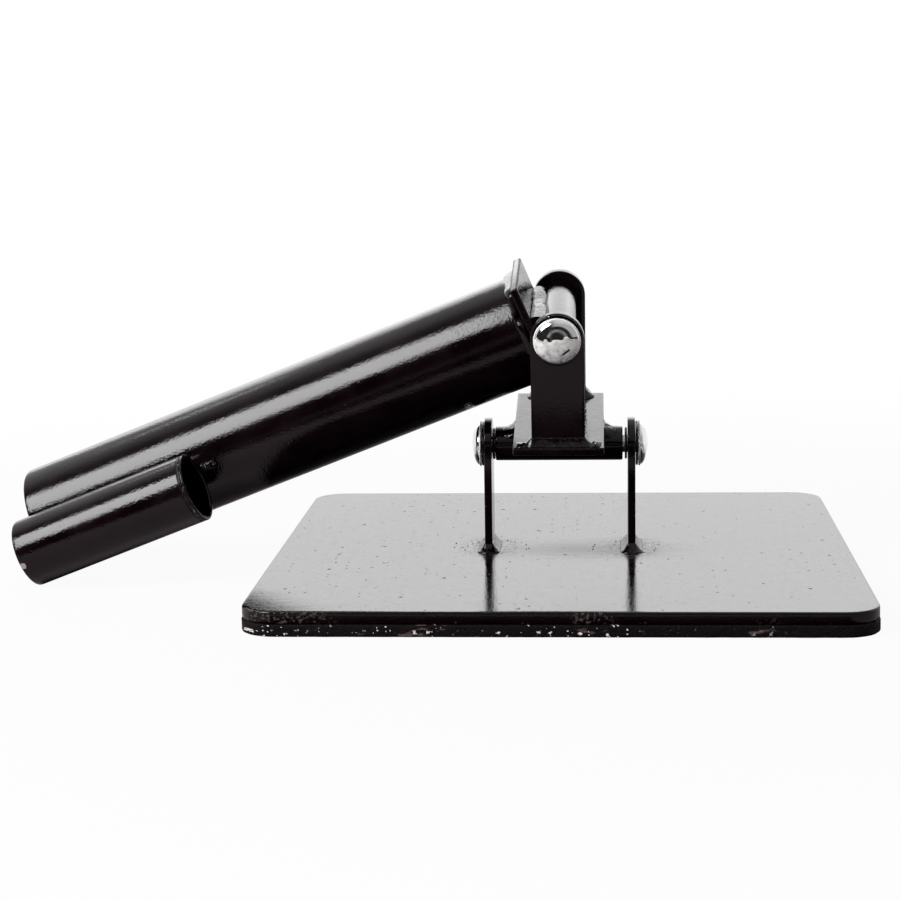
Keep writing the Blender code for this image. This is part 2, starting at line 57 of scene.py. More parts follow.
# Edge rounding of each kind of piece, and the flat margin that keeps a rounded edge's shading to itself
BAR_EDGE = 0.5 * MM
PLATE_EDGE = 0.9 * MM
MAT_EDGE = 0.7 * MM
TUBE_EDGE = 0.8 * MM
HARDWARE_EDGE = 0.3 * MM
EDGE_MARGIN = 1.4 * MM
EDGE_STEPS = 4
PLATE_CORNER = 18 * MM
SQUARE_CORNER = 0.8 * MM
MAT_WANDER = 0.25 * MM     # how far the mat's cut edge strays
WANDER_SIZE = 4 * MM
DOME_FULLNESS = 1.1     # 1 is an ellipse, and more draws the shoulders in
TURNED_SIDES = 128
SMALL_TURNED_SIDES = 72

# Joint frames: X, Y and Z of each are right, back and up on the piece that turns there
LOWER_AXIS = Vector(JOINTS["saddle_lean"]["pos_m"])
UPPER_AXIS = Vector(JOINTS["tube_swing"]["pos_m"])
RIGHT = Vector(JOINTS["saddle_lean"]["axis"])
BACK = Vector(JOINTS["tube_swing"]["axis"])


def axes_matrix(x, y, origin):
    """A place whose X and Y point as given, at an origin."""
    rotation = Matrix((x.normalized(), y.normalized(), x.cross(y).normalized())).transposed()
    return Matrix.Translation(origin) @ rotation.to_4x4()


MOUTH_AXIS = -Vector(next(m["axis"] for m in RECORD["mounts"] if m["name"] == "large_tube_mouth"))
PLATE = Matrix.Identity(4)
LOWER = Matrix.Translation(LOWER_AXIS)
SADDLE = axes_matrix(RIGHT, BACK, LOWER_AXIS)
TUBES = axes_matrix(MOUTH_AXIS, BACK, UPPER_AXIS)
ALONG_X = Matrix.Rotation(math.radians(90), 4, "Y")
ALONG_Y = Matrix.Rotation(math.radians(-90), 4, "X")


def points_of(node, place):
    """A CAD node's points in the local frame of place."""
    inverse = place.inverted()
    return [inverse @ v.co for v in frame["nodes"][node].data.vertices]


def span(node, place):
    """Lowest and highest corner of a CAD node in the local frame of place."""
    points = points_of(node, place)
    low = Vector(min(p[i] for p in points) for i in range(3))
    high = Vector(max(p[i] for p in points) for i in range(3))
    return low, high


def middle_of(node, place):
    """The middle of a CAD node in the local frame of place."""
    return sum(span(node, place), Vector()) / 2


def round_size(node, place):
    """Inner and outer radius and lowest and highest point of a round CAD node around the Z of place."""
    points = points_of(node, place)
    radii = [math.hypot(p.x, p.y) for p in points]
    heights = [p.z for p in points]
    return min(radii), max(radii), min(heights), max(heights)


CAP_POINTS = points_of("upper_front_cap", PLATE)
FRONT_CAP = sum(CAP_POINTS, Vector()) / len(CAP_POINTS)


# Node trees

class Value:
    """A node's output. Arithmetic with it adds math nodes to its tree."""

    def __init__(self, tree, socket):
        self.tree, self.socket = tree, socket

    def __add__(self, other):
        return self.tree.math("ADD", self, other)

    def __sub__(self, other):
        return self.tree.math("SUBTRACT", self, other)

    def __rsub__(self, other):
        return self.tree.math("SUBTRACT", other, self)

    def __mul__(self, other):
        return self.tree.math("MULTIPLY", self, other)

    def __truediv__(self, other):
        return self.tree.math("DIVIDE", self, other)

    def __rtruediv__(self, other):
        return self.tree.math("DIVIDE", other, self)

    def __abs__(self):
        return self.tree.math("ABSOLUTE", self)

    def larger(self, other):
        return self.tree.math("MAXIMUM", self, other)

    def axis(self, name):
        """One coordinate of a vector."""
        return self.tree.add("ShaderNodeSeparateXYZ", {0: self})[name]

    def ramp(self, low, high, to_low=0.0, to_high=1.0, smooth=True):
        """Maps the value from one range to another, and holds it there."""
        return self.tree.add("ShaderNodeMapRange", {
            "Value": self, "From Min": low, "From Max": high, "To Min": to_low, "To Max": to_high},
            interpolation_type="SMOOTHSTEP" if smooth else "LINEAR")["Result"]


class Outputs:
    """A node's outputs, each a Value, by name or number."""

    def __init__(self, tree, sockets):
        self.tree, self.sockets = tree, sockets

    def __getitem__(self, name):
        return Value(self.tree, self.sockets[name])


class Tree:
    """Adds nodes to a node tree. What is given for a socket is linked if it is a Value, or else set."""

    def __init__(self, tree):
        self.tree = tree

    def add(self, kind, values=None, **settings):
        """Adds a node and returns its outputs."""
        node = self.tree.nodes.new(kind)
        for name, value in settings.items():
            setattr(node, name, value)
        for socket, value in (values or {}).items():
            if isinstance(value, Value):
                self.tree.links.new(value.socket, node.inputs[socket])
            else:
                node.inputs[socket].default_value = value
        return Outputs(self, node.outputs)

    def group(self, group, **values):
        """Adds a node group. A value's name has _ for its spaces."""
        return self.add("ShaderNodeGroup", {name.replace("_", " "): value for name, value in values.items()},
                        node_tree=group)

    def math(self, operation, *values, clamp=False):
        return self.add("ShaderNodeMath", dict(enumerate(values)), operation=operation, use_clamp=clamp)[0]

    def vector_math(self, operation, *values):
        result = "Value" if operation in ("LENGTH", "DOT_PRODUCT", "DISTANCE") else "Vector"
        return self.add("ShaderNodeVectorMath", dict(enumerate(values)), operation=operation)[result]

    def scaled(self, vector, scale):
        return self.add("ShaderNodeVectorMath", {0: vector, "Scale": scale}, operation="SCALE")["Vector"]

    def mix(self, factor, a, b):
        """Mixes two colours."""
        return self.add("ShaderNodeMix", {0: factor, 6: a, 7: b}, data_type="RGBA")[2]

    def place(self):
        """Where on its object a point is, in metres."""
        return self.add("ShaderNodeTexCoord")["Object"]

    def edge(self):
        """How far a point is on a rounded edge, which the mesh says."""
        return self.add("ShaderNodeAttribute", attribute_name="edge")["Fac"]

    def noise(self, size, detail=2.0, stretch=None):
        """A noise pattern whose features are about size metres across."""
        place = self.vector_math("DIVIDE", self.place(), stretch) if stretch else self.place()
        return self.add("ShaderNodeTexNoise", {"Vector": place, "Scale": 1 / size, "Detail": detail})[0]


SOCKETS = {"float": "NodeSocketFloat", "vector": "NodeSocketVector", "int": "NodeSocketInt",
           "geometry": "NodeSocketGeometry", "material": "NodeSocketMaterial"}


def node_group(name, kind, inputs, outputs):
    """A node group with sockets given as name: (type, default). Returns its Tree and what it is given."""
    group = bpy.data.node_groups.new(name, kind)
    for in_out, sockets in (("INPUT", inputs), ("OUTPUT", outputs)):
        for label, (socket_type, default) in sockets.items():
            socket = group.interface.new_socket(label, in_out=in_out, socket_type=SOCKETS[socket_type])
            if default is not None:
                socket.default_value = default
    tree = Tree(group)
    return tree, tree.add("NodeGroupInput")


def shape_tree(name, inputs):
    """A geometry tree that takes a mesh and a material besides its named inputs."""
    sockets = {"Geometry": ("geometry", None), **inputs, "Material": ("material", None)}
    return node_group(name, "GeometryNodeTree", sockets, {"Geometry": ("geometry", None)})


def effect(name, inputs, output):
    """A shader node group that takes numbers and vectors, given by their defaults, and gives a number."""
    sockets = {label: ("vector" if isinstance(default, tuple) else "float", default)
               for label, default in inputs.items()}
    return node_group(name, "ShaderNodeTree", sockets, {output: ("float", None)})


def end_shape_tree(tree, geometry, material):
    """Realize Instances and Set Material, the end of every geometry tree here."""
    smooth = tree.add("GeometryNodeSetShadeSmooth", {"Geometry": geometry})
    real = tree.add("GeometryNodeRealizeInstances", {"Geometry": smooth[0]})
    painted = tree.add("GeometryNodeSetMaterial", {"Geometry": real[0], "Material": material})
    tree.add("NodeGroupOutput", {0: painted[0]})
    return tree.tree


def build_turned_tree():
    """Sweeps a profile round a circle. Its X is the radius less Path Radius, and its -Y the height."""
    tree, given = shape_tree("turned_piece", {"Path Radius": ("float", 1.0), "Sides": ("int", 64)})
    profile = tree.add("GeometryNodeMeshToCurve", {"Mesh": given["Geometry"]})
    circle = tree.add("GeometryNodeCurvePrimitiveCircle", {
        "Resolution": given["Sides"], "Radius": given["Path Radius"]})
    swept = tree.add("GeometryNodeCurveToMesh", {"Curve": circle[0], "Profile Curve": profile[0]})
    return end_shape_tree(tree, swept[0], given["Material"])


def build_bead_tree():
    """A weld bead: a section swept along a path, with ripples across it and lumps over it."""
    tree, given = shape_tree("weld_bead", {
        label: ("float", default) for label, default in (
            ("Ripple Pitch", 2 * MM), ("Ripple Height", 0.3 * MM), ("Lump Size", 4 * MM),
            ("Lump Height", 0.3 * MM), ("End Taper", 0.0), ("Seed", 0.0))})
    is_section = tree.add("GeometryNodeInputNamedAttribute", {"Name": "section"}, data_type="FLOAT")
    chosen = tree.math("GREATER_THAN", is_section["Attribute"], 0.5)
    parts = tree.add("GeometryNodeSeparateGeometry", {"Geometry": given["Geometry"], "Selection": chosen})
    section = tree.add("GeometryNodeMeshToCurve", {"Mesh": parts["Selection"]})
    line = tree.add("GeometryNodeMeshToCurve", {"Mesh": parts["Inverted"]})
    path = tree.add("GeometryNodeResampleCurve", {"Curve": line[0], "Length": 0.45 * MM}, mode="LENGTH")
    place = tree.add("GeometryNodeSplineParameter")
    run = tree.add("GeometryNodeStoreNamedAttribute", {
        "Geometry": path[0], "Name": "run", "Value": place["Length"]}, data_type="FLOAT", domain="POINT")
    # An open bead is round at both ends: its scale falls off as an ellipse's height does
    middle = place["Factor"] * 2.0 - 1.0
    fall = tree.math("SQRT", 1.0 - tree.math("POWER", abs(middle), 8.0))
    swept = tree.add("GeometryNodeCurveToMesh", {
        "Curve": run[0], "Profile Curve": section[0], "Scale": 1.0 - (1.0 - fall) * given["End Taper"],
        "Fill Caps": True})
    along = tree.add("GeometryNodeInputNamedAttribute", {"Name": "run"}, data_type="FLOAT")
    ripple = abs(tree.math("SINE", along["Attribute"] / given["Ripple Pitch"] * math.pi))
    texture = tree.add("ShaderNodeTexNoise", {
        "W": given["Seed"], "Scale": 1.0 / given["Lump Size"], "Detail": 2.0}, noise_dimensions="4D")
    lump = (texture[0] - 0.5) * (given["Lump Height"] * 4.0)
    lift = (ripple - 0.6) * given["Ripple Height"] + lump
    offset = tree.scaled(tree.add("GeometryNodeInputNormal")[0], lift)
    moved = tree.add("GeometryNodeSetPosition", {"Geometry": swept[0], "Offset": offset})
    return end_shape_tree(tree, moved[0], given["Material"])


def build_spatter_tree():
    """Small round drops scattered over the input faces."""
    tree, given = shape_tree("weld_spatter", {
        "Drops per Area": ("float", 20000.0), "Smallest": ("float", 0.2 * MM), "Largest": ("float", 0.5 * MM),
        "Seed": ("int", 1)})
    points = tree.add("GeometryNodeDistributePointsOnFaces", {
        "Mesh": given["Geometry"], "Density": given["Drops per Area"], "Seed": given["Seed"]})
    drop = tree.add("GeometryNodeMeshIcoSphere", {"Radius": 1.0, "Subdivisions": 2})
    share = tree.add("FunctionNodeRandomValue", {"Seed": given["Seed"]}, data_type="FLOAT")[1]
    width = given["Smallest"] + tree.math("POWER", share, 3.0) * (given["Largest"] - given["Smallest"])
    drops = tree.add("GeometryNodeInstanceOnPoints", {
        "Points": points["Points"], "Instance": drop[0], "Scale": width})
    return end_shape_tree(tree, drops[0], given["Material"])


def in_scene(name, data):
    """A new object in the scene."""
    obj = bpy.data.objects.new(name, data)
    bpy.context.scene.collection.objects.link(obj)
    return obj


def grown(mesh, tree, **inputs):
    """The plain mesh that a geometry tree makes from a mesh. An input's name has _ for its spaces."""
    obj = in_scene("growing", mesh)
    modifier = obj.modifiers.new("Shape", "NODES")
    modifier.node_group = tree
    for item in tree.interface.items_tree:
        name = item.name.replace(" ", "_")
        if item.in_out == "INPUT" and name in inputs:
            modifier[item.identifier] = inputs[name]
    graph = bpy.context.evaluated_depsgraph_get()
    result = bpy.data.meshes.new_from_object(obj.evaluated_get(graph))
    obj.modifiers.remove(modifier)
    bpy.data.objects.remove(obj)
    return result


def finished(bm, mesh=None):
    """Puts a bmesh in a mesh, and frees it."""
    mesh = mesh or bpy.data.meshes.new("shape")
    bm.to_mesh(mesh)
    bm.free()
    return mesh


def tidy(mesh):
    """Merges a mesh's doubles and points all its faces outward."""
    bm = bmesh.new()
    bm.from_mesh(mesh)
    bmesh.ops.remove_doubles(bm, verts=bm.verts, dist=MICRON)
    bmesh.ops.recalc_face_normals(bm, faces=bm.faces)
    for face in bm.faces:
        face.smooth = True
    return finished(bm, mesh)


def skin(bm, rings):
    """Faces between rings that have as many points each."""
    count = len(rings[0])
    for low, high in zip(rings, rings[1:]):
        for i in range(count):
            bm.faces.new((low[i], low[(i + 1) % count], high[(i + 1) % count], high[i]))


def chain(first, count, closed=True):
    """Links between points in a row, and from the last of them to the first."""
    return [(first + i, first + (i + 1) % count) for i in range(count if closed else count - 1)]


def wire_mesh(points, links, attribute, values):
    """A mesh of edges alone, whose points have an attribute."""
    mesh = bpy.data.meshes.new("wire")
    mesh.from_pydata(points, links, [])
    mesh.attributes.new(attribute, "FLOAT", "POINT").data.foreach_set("value", values)
    return mesh


def quarter_turn(steps):
    """Angles from 0 to 90 degrees."""
    return [step / steps * math.pi / 2 for step in range(steps + 1)]


def oval(count, width, height=None):
    """Points round an oval, or round a circle, from its half width and half height."""
    angles = [i * math.tau / count for i in range(count)]
    return [(width * math.cos(angle), (height or width) * math.sin(angle)) for angle in angles]


def add_piece(node, kind, mesh, material, place):
    """A finished piece, which rides on its node's body. Unless it is spatter, it stands for the node."""
    name = f"{node}_{kind}"
    mesh.transform(place)
    mesh.name = name
    mesh.materials.clear()
    mesh.materials.append(material)
    obj = in_scene(name, mesh)
    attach(obj, BODY_OF[node])
    if kind != "spatter":
        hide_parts(node)


# Turned pieces

def rounded_profile(corners, edge):
    """Rounds a closed profile's corners. Returns (radius, height, share) points, share 1 on a rounding."""
    points = []
    for i, corner in enumerate(corners):
        here = Vector(corner)
        before = Vector(corners[i - 1]) - here
        after = Vector(corners[(i + 1) % len(corners)]) - here
        back, onward = before.normalized(), after.normalized()
        half_angle = before.angle(after) / 2
        reach = min(edge / math.tan(half_angle), before.length * 0.45, after.length * 0.45)
        radius = reach * math.tan(half_angle)
        centre = here + (back + onward).normalized() * (radius / math.sin(half_angle))
        start = here + back * reach
        end = here + onward * reach
        margin_in = min(EDGE_MARGIN, (before.length - reach) * 0.4)
        margin_out = min(EDGE_MARGIN, (after.length - reach) * 0.4)
        points.append((*(start + back * margin_in), 0.0))
        for step in range(EDGE_STEPS + 1):
            spoke = (start - centre).slerp(end - centre, step / EDGE_STEPS)
            points.append((*(centre + spoke.normalized() * radius), 1.0))
        points.append((*(end + onward * margin_out), 0.0))
    return points


def turned_mesh(profile, sides):
    """Turns a closed profile of (radius, height, edge share) points around Z."""
    path_radius = max(point[0] for point in profile)
    wire = wire_mesh([(radius - path_radius, -height, 0) for radius, height, _ in profile],
                     chain(0, len(profile)), "edge", [point[2] for point in profile])
    return tidy(grown(wire, TURNED_TREE, Path_Radius=path_radius, Sides=sides))


def turned_ring(node, place, edge, material, sides=SMALL_TURNED_SIDES):
    """A ring, washer, sleeve or tube, as its CAD node is, with rounded edges."""
    inner, outer, low, high = round_size(node, place)
    profile = rounded_profile([(outer, high), (outer, low), (inner, low), (inner, high)], edge)
    add_piece(node, "finish", turned_mesh(profile, sides), material, place)


# Slabs: flat bar, plate and mat

def rounded_rectangle(width, depth, corner, steps=10):
    """A rectangle's outline around the origin, with round corners."""
    points = []
    for quarter in range(4):
        x = (width / 2 - corner) * (1 if quarter in (0, 3) else -1)
        y = (depth / 2 - corner) * (1 if quarter in (0, 1) else -1)
        for angle in quarter_turn(steps):
            angle += quarter * math.pi / 2
            points.append(Vector((x + corner * math.cos(angle), y + corner * math.sin(angle))))
    return points


def round_topped(width, foot):
    """A bar's outline: a half circle around the origin, on straight sides that run down to its foot."""
    radius, corner, steps = width / 2, 0.3 * MM, 32
    angles = [i * math.pi / steps for i in range(steps + 1)]
    points = [(radius * math.cos(angle), radius * math.sin(angle)) for angle in angles]
    points += [(-radius, foot + corner), (corner - radius, foot), (radius - corner, foot),
               (radius, foot + corner)]
    return [Vector(point) for point in points]


def subdivided(outline, pitch):
    """Adds points to an outline's long sides, no further apart than pitch."""
    points = []
    for i, start in enumerate(outline):
        end = outline[(i + 1) % len(outline)]
        count = max(1, math.ceil((end - start).length / pitch))
        points += [start.lerp(end, step / count) for step in range(count)]
    return points


def inset(outline, distance):
    """Moves an outline's points inward, square to the outline."""
    moved = []
    count = len(outline)
    for i, point in enumerate(outline):
        before = (point - outline[i - 1]).normalized()
        after = (outline[(i + 1) % count] - point).normalized()
        normals = [Vector((-side.y, side.x)) for side in (before, after)]
        middle = (normals[0] + normals[1]).normalized()
        moved.append(point + middle * distance / max(0.3, middle.dot(normals[0])))
    return moved


def slab_mesh(outline_at, thickness, edge, hole_radius=0.0, wander=0.0):
    """A slab with its middle plane at Z = 0, rounded edges and any round hole.

    outline_at gives its outline for an inset, and wander is how far its sides stray.
    """
    half = thickness / 2
    margin = min(EDGE_MARGIN, (half - edge) * 0.6)
    levels = [(edge + EDGE_MARGIN, -half, 0.0)]
    arc = [(edge * (1 - math.sin(angle)), half - edge + edge * math.cos(angle))
           for angle in quarter_turn(EDGE_STEPS)]
    levels += [(depth, -height, 1.0) for depth, height in arc]
    levels += [(0, -half + edge + margin, 0.0), (0, half - edge - margin, 0.0)]
    levels += [(depth, height, 1.0) for depth, height in reversed(arc)]
    levels += [(edge + EDGE_MARGIN, half, 0.0)]
    bm = bmesh.new()
    layer = bm.verts.layers.float.new("edge")
    rings = []
    for depth, height, share in levels:
        ring = [bm.verts.new((*point, height)) for point in outline_at(depth)]
        for vert in ring:
            if wander:
                vert.co.xy += noise.noise_vector(vert.co / WANDER_SIZE).xy * wander
            vert[layer] = share
        rings.append(ring)
    skin(bm, rings)
    caps = [rings[0], rings[-1]]
    if hole_radius:
        circles = [[bm.verts.new((*point, height)) for point in oval(SMALL_TURNED_SIDES, hole_radius)]
                   for height in (-half, half)]
        skin(bm, circles)
        for cap, circle in zip(caps, circles):
            loops = [bm.edges.get((ring[i - 1], ring[i])) or bm.edges.new((ring[i - 1], ring[i]))
                     for ring in (cap, circle) for i in range(len(ring))]
            for edge_of_hole in loops[len(cap):]:
                edge_of_hole.smooth = False
            bmesh.ops.triangle_fill(bm, use_beauty=True, edges=loops)
    else:
        for cap in caps:
            bm.faces.new(cap)
    return tidy(finished(bm))


# Beads

def bead_mesh(path, section, closed=False, **inputs):
    """A bead along a path in the XY plane. A section point is (outward or +X of a path along +Y, up)."""
    points = [(*point, 0) for point in path] + [(out, -up, 0) for out, up in section]
    links = chain(0, len(path), closed) + chain(len(path), len(section))
    wire = wire_mesh(points, links, "section", [0.0] * len(path) + [1.0] * len(section))
    return tidy(grown(wire, BEAD_TREE, **inputs))


def fillet_section(out, up, swell):
    """A bead's section in a corner: toes at (out, 0) and (0, up), face bulged by swell, back buried."""
    buried, length = 0.6 * MM, math.hypot(out, up)
    points = [(-buried, -buried), (out, -buried)]
    for step in range(11):
        share = step / 10
        bulge = swell * 4 * share * (1 - share)
        points.append((out * (1 - share) + bulge * up / length, up * share + bulge * out / length))
    return points + [(-buried, up)]


def joined(*meshes):
    """Puts several meshes in the first one."""
    bm = bmesh.new()
    for mesh in meshes:
        bm.from_mesh(mesh)
    return finished(bm, meshes[0])


def lofted_mesh(rows):
    """Skins rows of points, each row a closed ring, and caps both ends."""
    bm = bmesh.new()
    rings = [[bm.verts.new(point) for point in row] for row in rows]
    skin(bm, rings)
    for ring in (rings[0], rings[-1]):
        bm.faces.new(ring)
    return tidy(finished(bm))


# Camera, fitted to about 90 places in the photograph

IMAGE_SIZE = 900
FILM_WIDTH_MM = 36
CAMERA_PLACE = (0.02004, -1.121772, 0.251371)
CAMERA_YAW = math.radians(4.086)       # to the left of +Y
CAMERA_PITCH = math.radians(9.435)     # below level
CAMERA_ROLL = math.radians(0.926)
CAMERA_FOCUS_PIXELS = 2113.907


def make_camera():
    forward = Vector((-math.sin(CAMERA_YAW) * math.cos(CAMERA_PITCH),
                      math.cos(CAMERA_YAW) * math.cos(CAMERA_PITCH), -math.sin(CAMERA_PITCH)))
    right = Vector((math.cos(CAMERA_YAW), math.sin(CAMERA_YAW), 0))
    down = forward.cross(right)
    across = math.cos(CAMERA_ROLL) * right + math.sin(CAMERA_ROLL) * down
    upward = math.sin(CAMERA_ROLL) * right - math.cos(CAMERA_ROLL) * down
    data = bpy.data.cameras.new("camera")
    data.sensor_width = FILM_WIDTH_MM
    data.lens = CAMERA_FOCUS_PIXELS / IMAGE_SIZE * FILM_WIDTH_MM
    data.clip_start = 10 * MM
    camera = in_scene("camera", data)
    camera.matrix_world = axes_matrix(across, upward, CAMERA_PLACE)
    bpy.context.scene.camera = camera


# Studio: a pale floor, a bright room behind the object and a dark one in front, and six soft lamps

AMBIENT = (0.12, 0.12, 0.12, 1)
WHITE = (1, 1, 1, 1)
FLOOR_TONE = (0.54, 0.47, 0.49, 1)
FLOOR_DARK_FROM = -0.28     # a gloss sees the floor dark from here to its front edge
PLATE_SHADE = (-0.205, -0.190)     # and along the base plate's front, from one to the other
FLOOR_FRONT = -0.52
FLOOR_BACK = 3.0
FLOOR_SIDE = 2.0
ARCH_WAY = (0.0, -0.946, -0.326)     # from the object to the middle of the dark arch in front


def clear_material(name):
    """A material with no nodes yet, and its Tree."""
    material = bpy.data.materials.new(name)
    material.use_nodes = True
    material.node_tree.nodes.clear()
    return material, Tree(material.node_tree)


def make_floor():
    """The pale floor: near white to the camera, with a shadow, and white further back in a gloss."""
    material, tree = clear_material("studio_floor")
    rays = tree.add("ShaderNodeLightPath")
    place = tree.place()
    behind = place.axis("Y")
    seen = rays["Is Camera Ray"] * tree.vector_math("LENGTH", place).ramp(0.25, 0.8, 0.95, 1.0)
    mirrored = rays["Is Glossy Ray"]
    share = tree.math("ADD", seen, mirrored * behind.ramp(0.02, 0.3), clamp=True)
    before = behind.ramp(*PLATE_SHADE) * behind.ramp(-0.145, -0.152)
    shade = before * abs(place.axis("X")).ramp(0.158, 0.150)
    dark = behind.ramp(FLOOR_DARK_FROM, FLOOR_DARK_FROM - 0.06).larger(shade) * mirrored
    matt = tree.add("ShaderNodeBsdfDiffuse", {"Color": tree.mix(dark, FLOOR_TONE, (0.01, 0.01, 0.01, 1))})
    white = tree.add("ShaderNodeEmission", {"Color": WHITE, "Strength": 1.0})
    mixed = tree.add("ShaderNodeMixShader", {0: share, 1: matt[0], 2: white[0]})
    tree.add("ShaderNodeOutputMaterial", {"Surface": mixed[0]})
    mesh = bpy.data.meshes.new("floor")
    corners = [(-FLOOR_SIDE, FLOOR_FRONT, 0), (FLOOR_SIDE, FLOOR_FRONT, 0),
               (FLOOR_SIDE, FLOOR_BACK, 0), (-FLOOR_SIDE, FLOOR_BACK, 0)]
    mesh.from_pydata(corners, [], [(0, 1, 2, 3)])
    mesh.materials.append(material)
    floor = in_scene("floor", mesh)


def make_world():
    """White to the camera. A gloss sees white at the back, and in front a dim wall with a dark arch."""
    world = bpy.data.worlds.new("studio")
    bpy.context.scene.world = world
    world.use_nodes = True
    world.node_tree.nodes.clear()
    tree = Tree(world.node_tree)
    rays = tree.add("ShaderNodeLightPath")
    way = tree.add("ShaderNodeTexCoord")["Generated"]
    near_arch = tree.vector_math("DOT_PRODUCT", way, ARCH_WAY)
    wall = near_arch.ramp(0.83, 0.75) * way.axis("X").ramp(-0.30, -0.12)
    rim = near_arch.ramp(0.905, 0.93) * near_arch.ramp(0.965, 0.945)
    front = wall * 0.42 + rim * 0.28 + way.axis("Z").ramp(0.5, 0.8, 0.02, 0.25)
    room = tree.mix(way.axis("Y").ramp(-0.15, 0.3), front, WHITE)
    lit = tree.mix(rays["Is Glossy Ray"], AMBIENT, room)
    shown = tree.mix(rays["Is Camera Ray"], lit, WHITE)
    sky = tree.add("ShaderNodeBackground", {"Color": shown, "Strength": 1.0})
    tree.add("ShaderNodeOutputWorld", {"Surface": sky[0]})


def make_lamp(name, place, width, height, brightness, target=(0, 0, 0.1), upward=(0, 0, 1)):
    """A soft lamp of a given size. Brightness 1 is as bright as white paper in the scene."""
    data = bpy.data.lights.new(name, "AREA")
    data.shape = "RECTANGLE"
    data.size, data.size_y = width, height
    data.energy = brightness * math.pi * width * height
    lamp = in_scene(name, data)
    back = (Vector(place) - Vector(target)).normalized()
    across = Vector(upward).cross(back).normalized()
    lamp.matrix_world = axes_matrix(across, back.cross(across), place)
    lamp.visible_camera = False


def make_studio():
    make_floor()
    make_world()
    make_lamp("key", (-1.105, -0.912, 1.003), 0.88, 0.87, 17, (-0.15, -0.02, 0.08), (-0.085, 0.45, 0.29))
    make_lamp("back_low", (-0.1, 2.4, 0.56), 3.2, 0.60, 0.53)
    make_lamp("back_middle", (-0.1, 2.4, 0.71), 3.2, 0.30, 0.88)
    make_lamp("back_line", (-0.1, 2.4, 0.41), 3.2, 0.14, 0.32)
    make_lamp("side_strip", (-1.02, 0.705, 1.11), 0.24, 0.09, 4.5, (-0.18, 0, 0.09))
    make_lamp("back_high", (-0.14, 1.6, 1.04), 2.1, 0.80, 2.05, (0, 0, 0.12))
    bpy.context.scene.view_settings.view_transform = "Standard"


# Finishes

BLACK = (0.0020, 0.0004, 0.0009, 1)
WARM_BLACK = (0.0045, 0.0018, 0.0024, 1)
PAINT_IOR = 1.36
BARE_STEEL = (0.50, 0.49, 0.47, 1)
DULL_STEEL = (0.30, 0.28, 0.26, 1)
SCUFF = (0.16, 0.135, 0.115, 1)
SMEAR_MIDDLE = (0.012, -0.012, 0.0)     # of the faint smear on the base plate, between the lugs
WORN_CORNER = (-0.135, -0.150, 0.009)     # of the base plate, where its side is scuffed
RING_TIGHTNESS = 1500.0     # of the faint rings round the lugs, in radians to a metre


def build_paint_skin():
    """The height of sprayed gloss paint, in metres: orange peel and dust nibs."""
    tree, given = effect("paint_skin", {"Peel Size": 1.1 * MM, "Peel Depth": 60 * MICRON,
                                        "Nib Spacing": 8 * MM, "Nib Size": 0.3 * MM}, "Height")
    swell = tree.noise(given["Peel Size"] / 0.12, 1.0)
    cells = tree.add("ShaderNodeTexVoronoi", {"Vector": tree.place(), "Scale": 1.0 / given["Nib Spacing"]})
    nibs = (cells["Distance"] * given["Nib Spacing"] / given["Nib Size"]).ramp(1.0, 0.3)
    height = (tree.noise(given["Peel Size"], 1.5) + swell * 0.8) * given["Peel Depth"] + nibs * (70 * MICRON)
    tree.add("NodeGroupOutput", {"Height": height})
    return tree.tree


def build_worn_edge():
    """Chips along the rounded edges."""
    tree, given = effect("worn_edge", {"Wear": 0.3, "Chip Size": 2 * MM}, "Chips")
    pattern = (tree.noise(given["Chip Size"] * 4.0) + tree.noise(given["Chip Size"], 3.0)) * 0.5
    chips = (pattern - (0.78 - given["Wear"] * 0.3)).ramp(0.0, 0.03)
    tree.add("NodeGroupOutput", {"Chips": chips * tree.edge().ramp(0.3, 0.7)})
    return tree.tree


def build_grit_flecks():
    """Specks scattered over X and Y of Place. Share is how many of the spots have one."""
    tree, given = effect("grit_flecks", {
        "Place": (0, 0, 0), "Spacing": 10 * MM, "Size": 0.5 * MM, "Share": 0.5}, "Flecks")
    place, spacing, size = given["Place"], given["Spacing"], given["Size"]
    ragged = tree.add("ShaderNodeTexNoise", {"Vector": place, "Scale": 1.2 / size, "Detail": 2.0})["Color"]
    shift = tree.scaled(tree.vector_math("SUBTRACT", ragged, (0.5, 0.5, 0.5)), size * 2.2)
    cells = tree.add("ShaderNodeTexVoronoi", {
        "Vector": tree.vector_math("ADD", place, shift), "Scale": 1.0 / spacing}, voronoi_dimensions="2D")
    pick = tree.add("ShaderNodeSeparateColor", {0: cells["Color"]})
    own_size = size * pick[1].ramp(0.0, 1.0, 0.4, 1.0)
    flecks = (cells["Distance"] * spacing / own_size).ramp(1.0, 0.6)
    tree.add("NodeGroupOutput", {"Flecks": flecks * tree.math("LESS_THAN", pick[0], given["Share"])})
    return tree.tree


def finish_surface(material, tree, color, roughness, height, metallic=0.0, specular=0.5):
    """The shader at the end of a finish. Height is in metres."""
    bump = tree.add("ShaderNodeBump", {"Strength": 1.0, "Distance": 1.0, "Height": height})
    shader = tree.add("ShaderNodeBsdfPrincipled", {
        "Base Color": color, "Roughness": roughness, "Metallic": metallic, "IOR": PAINT_IOR,
        "Specular IOR Level": specular, "Normal": bump[0]})
    tree.add("ShaderNodeOutputMaterial", {"Surface": shader[0]})
    return material


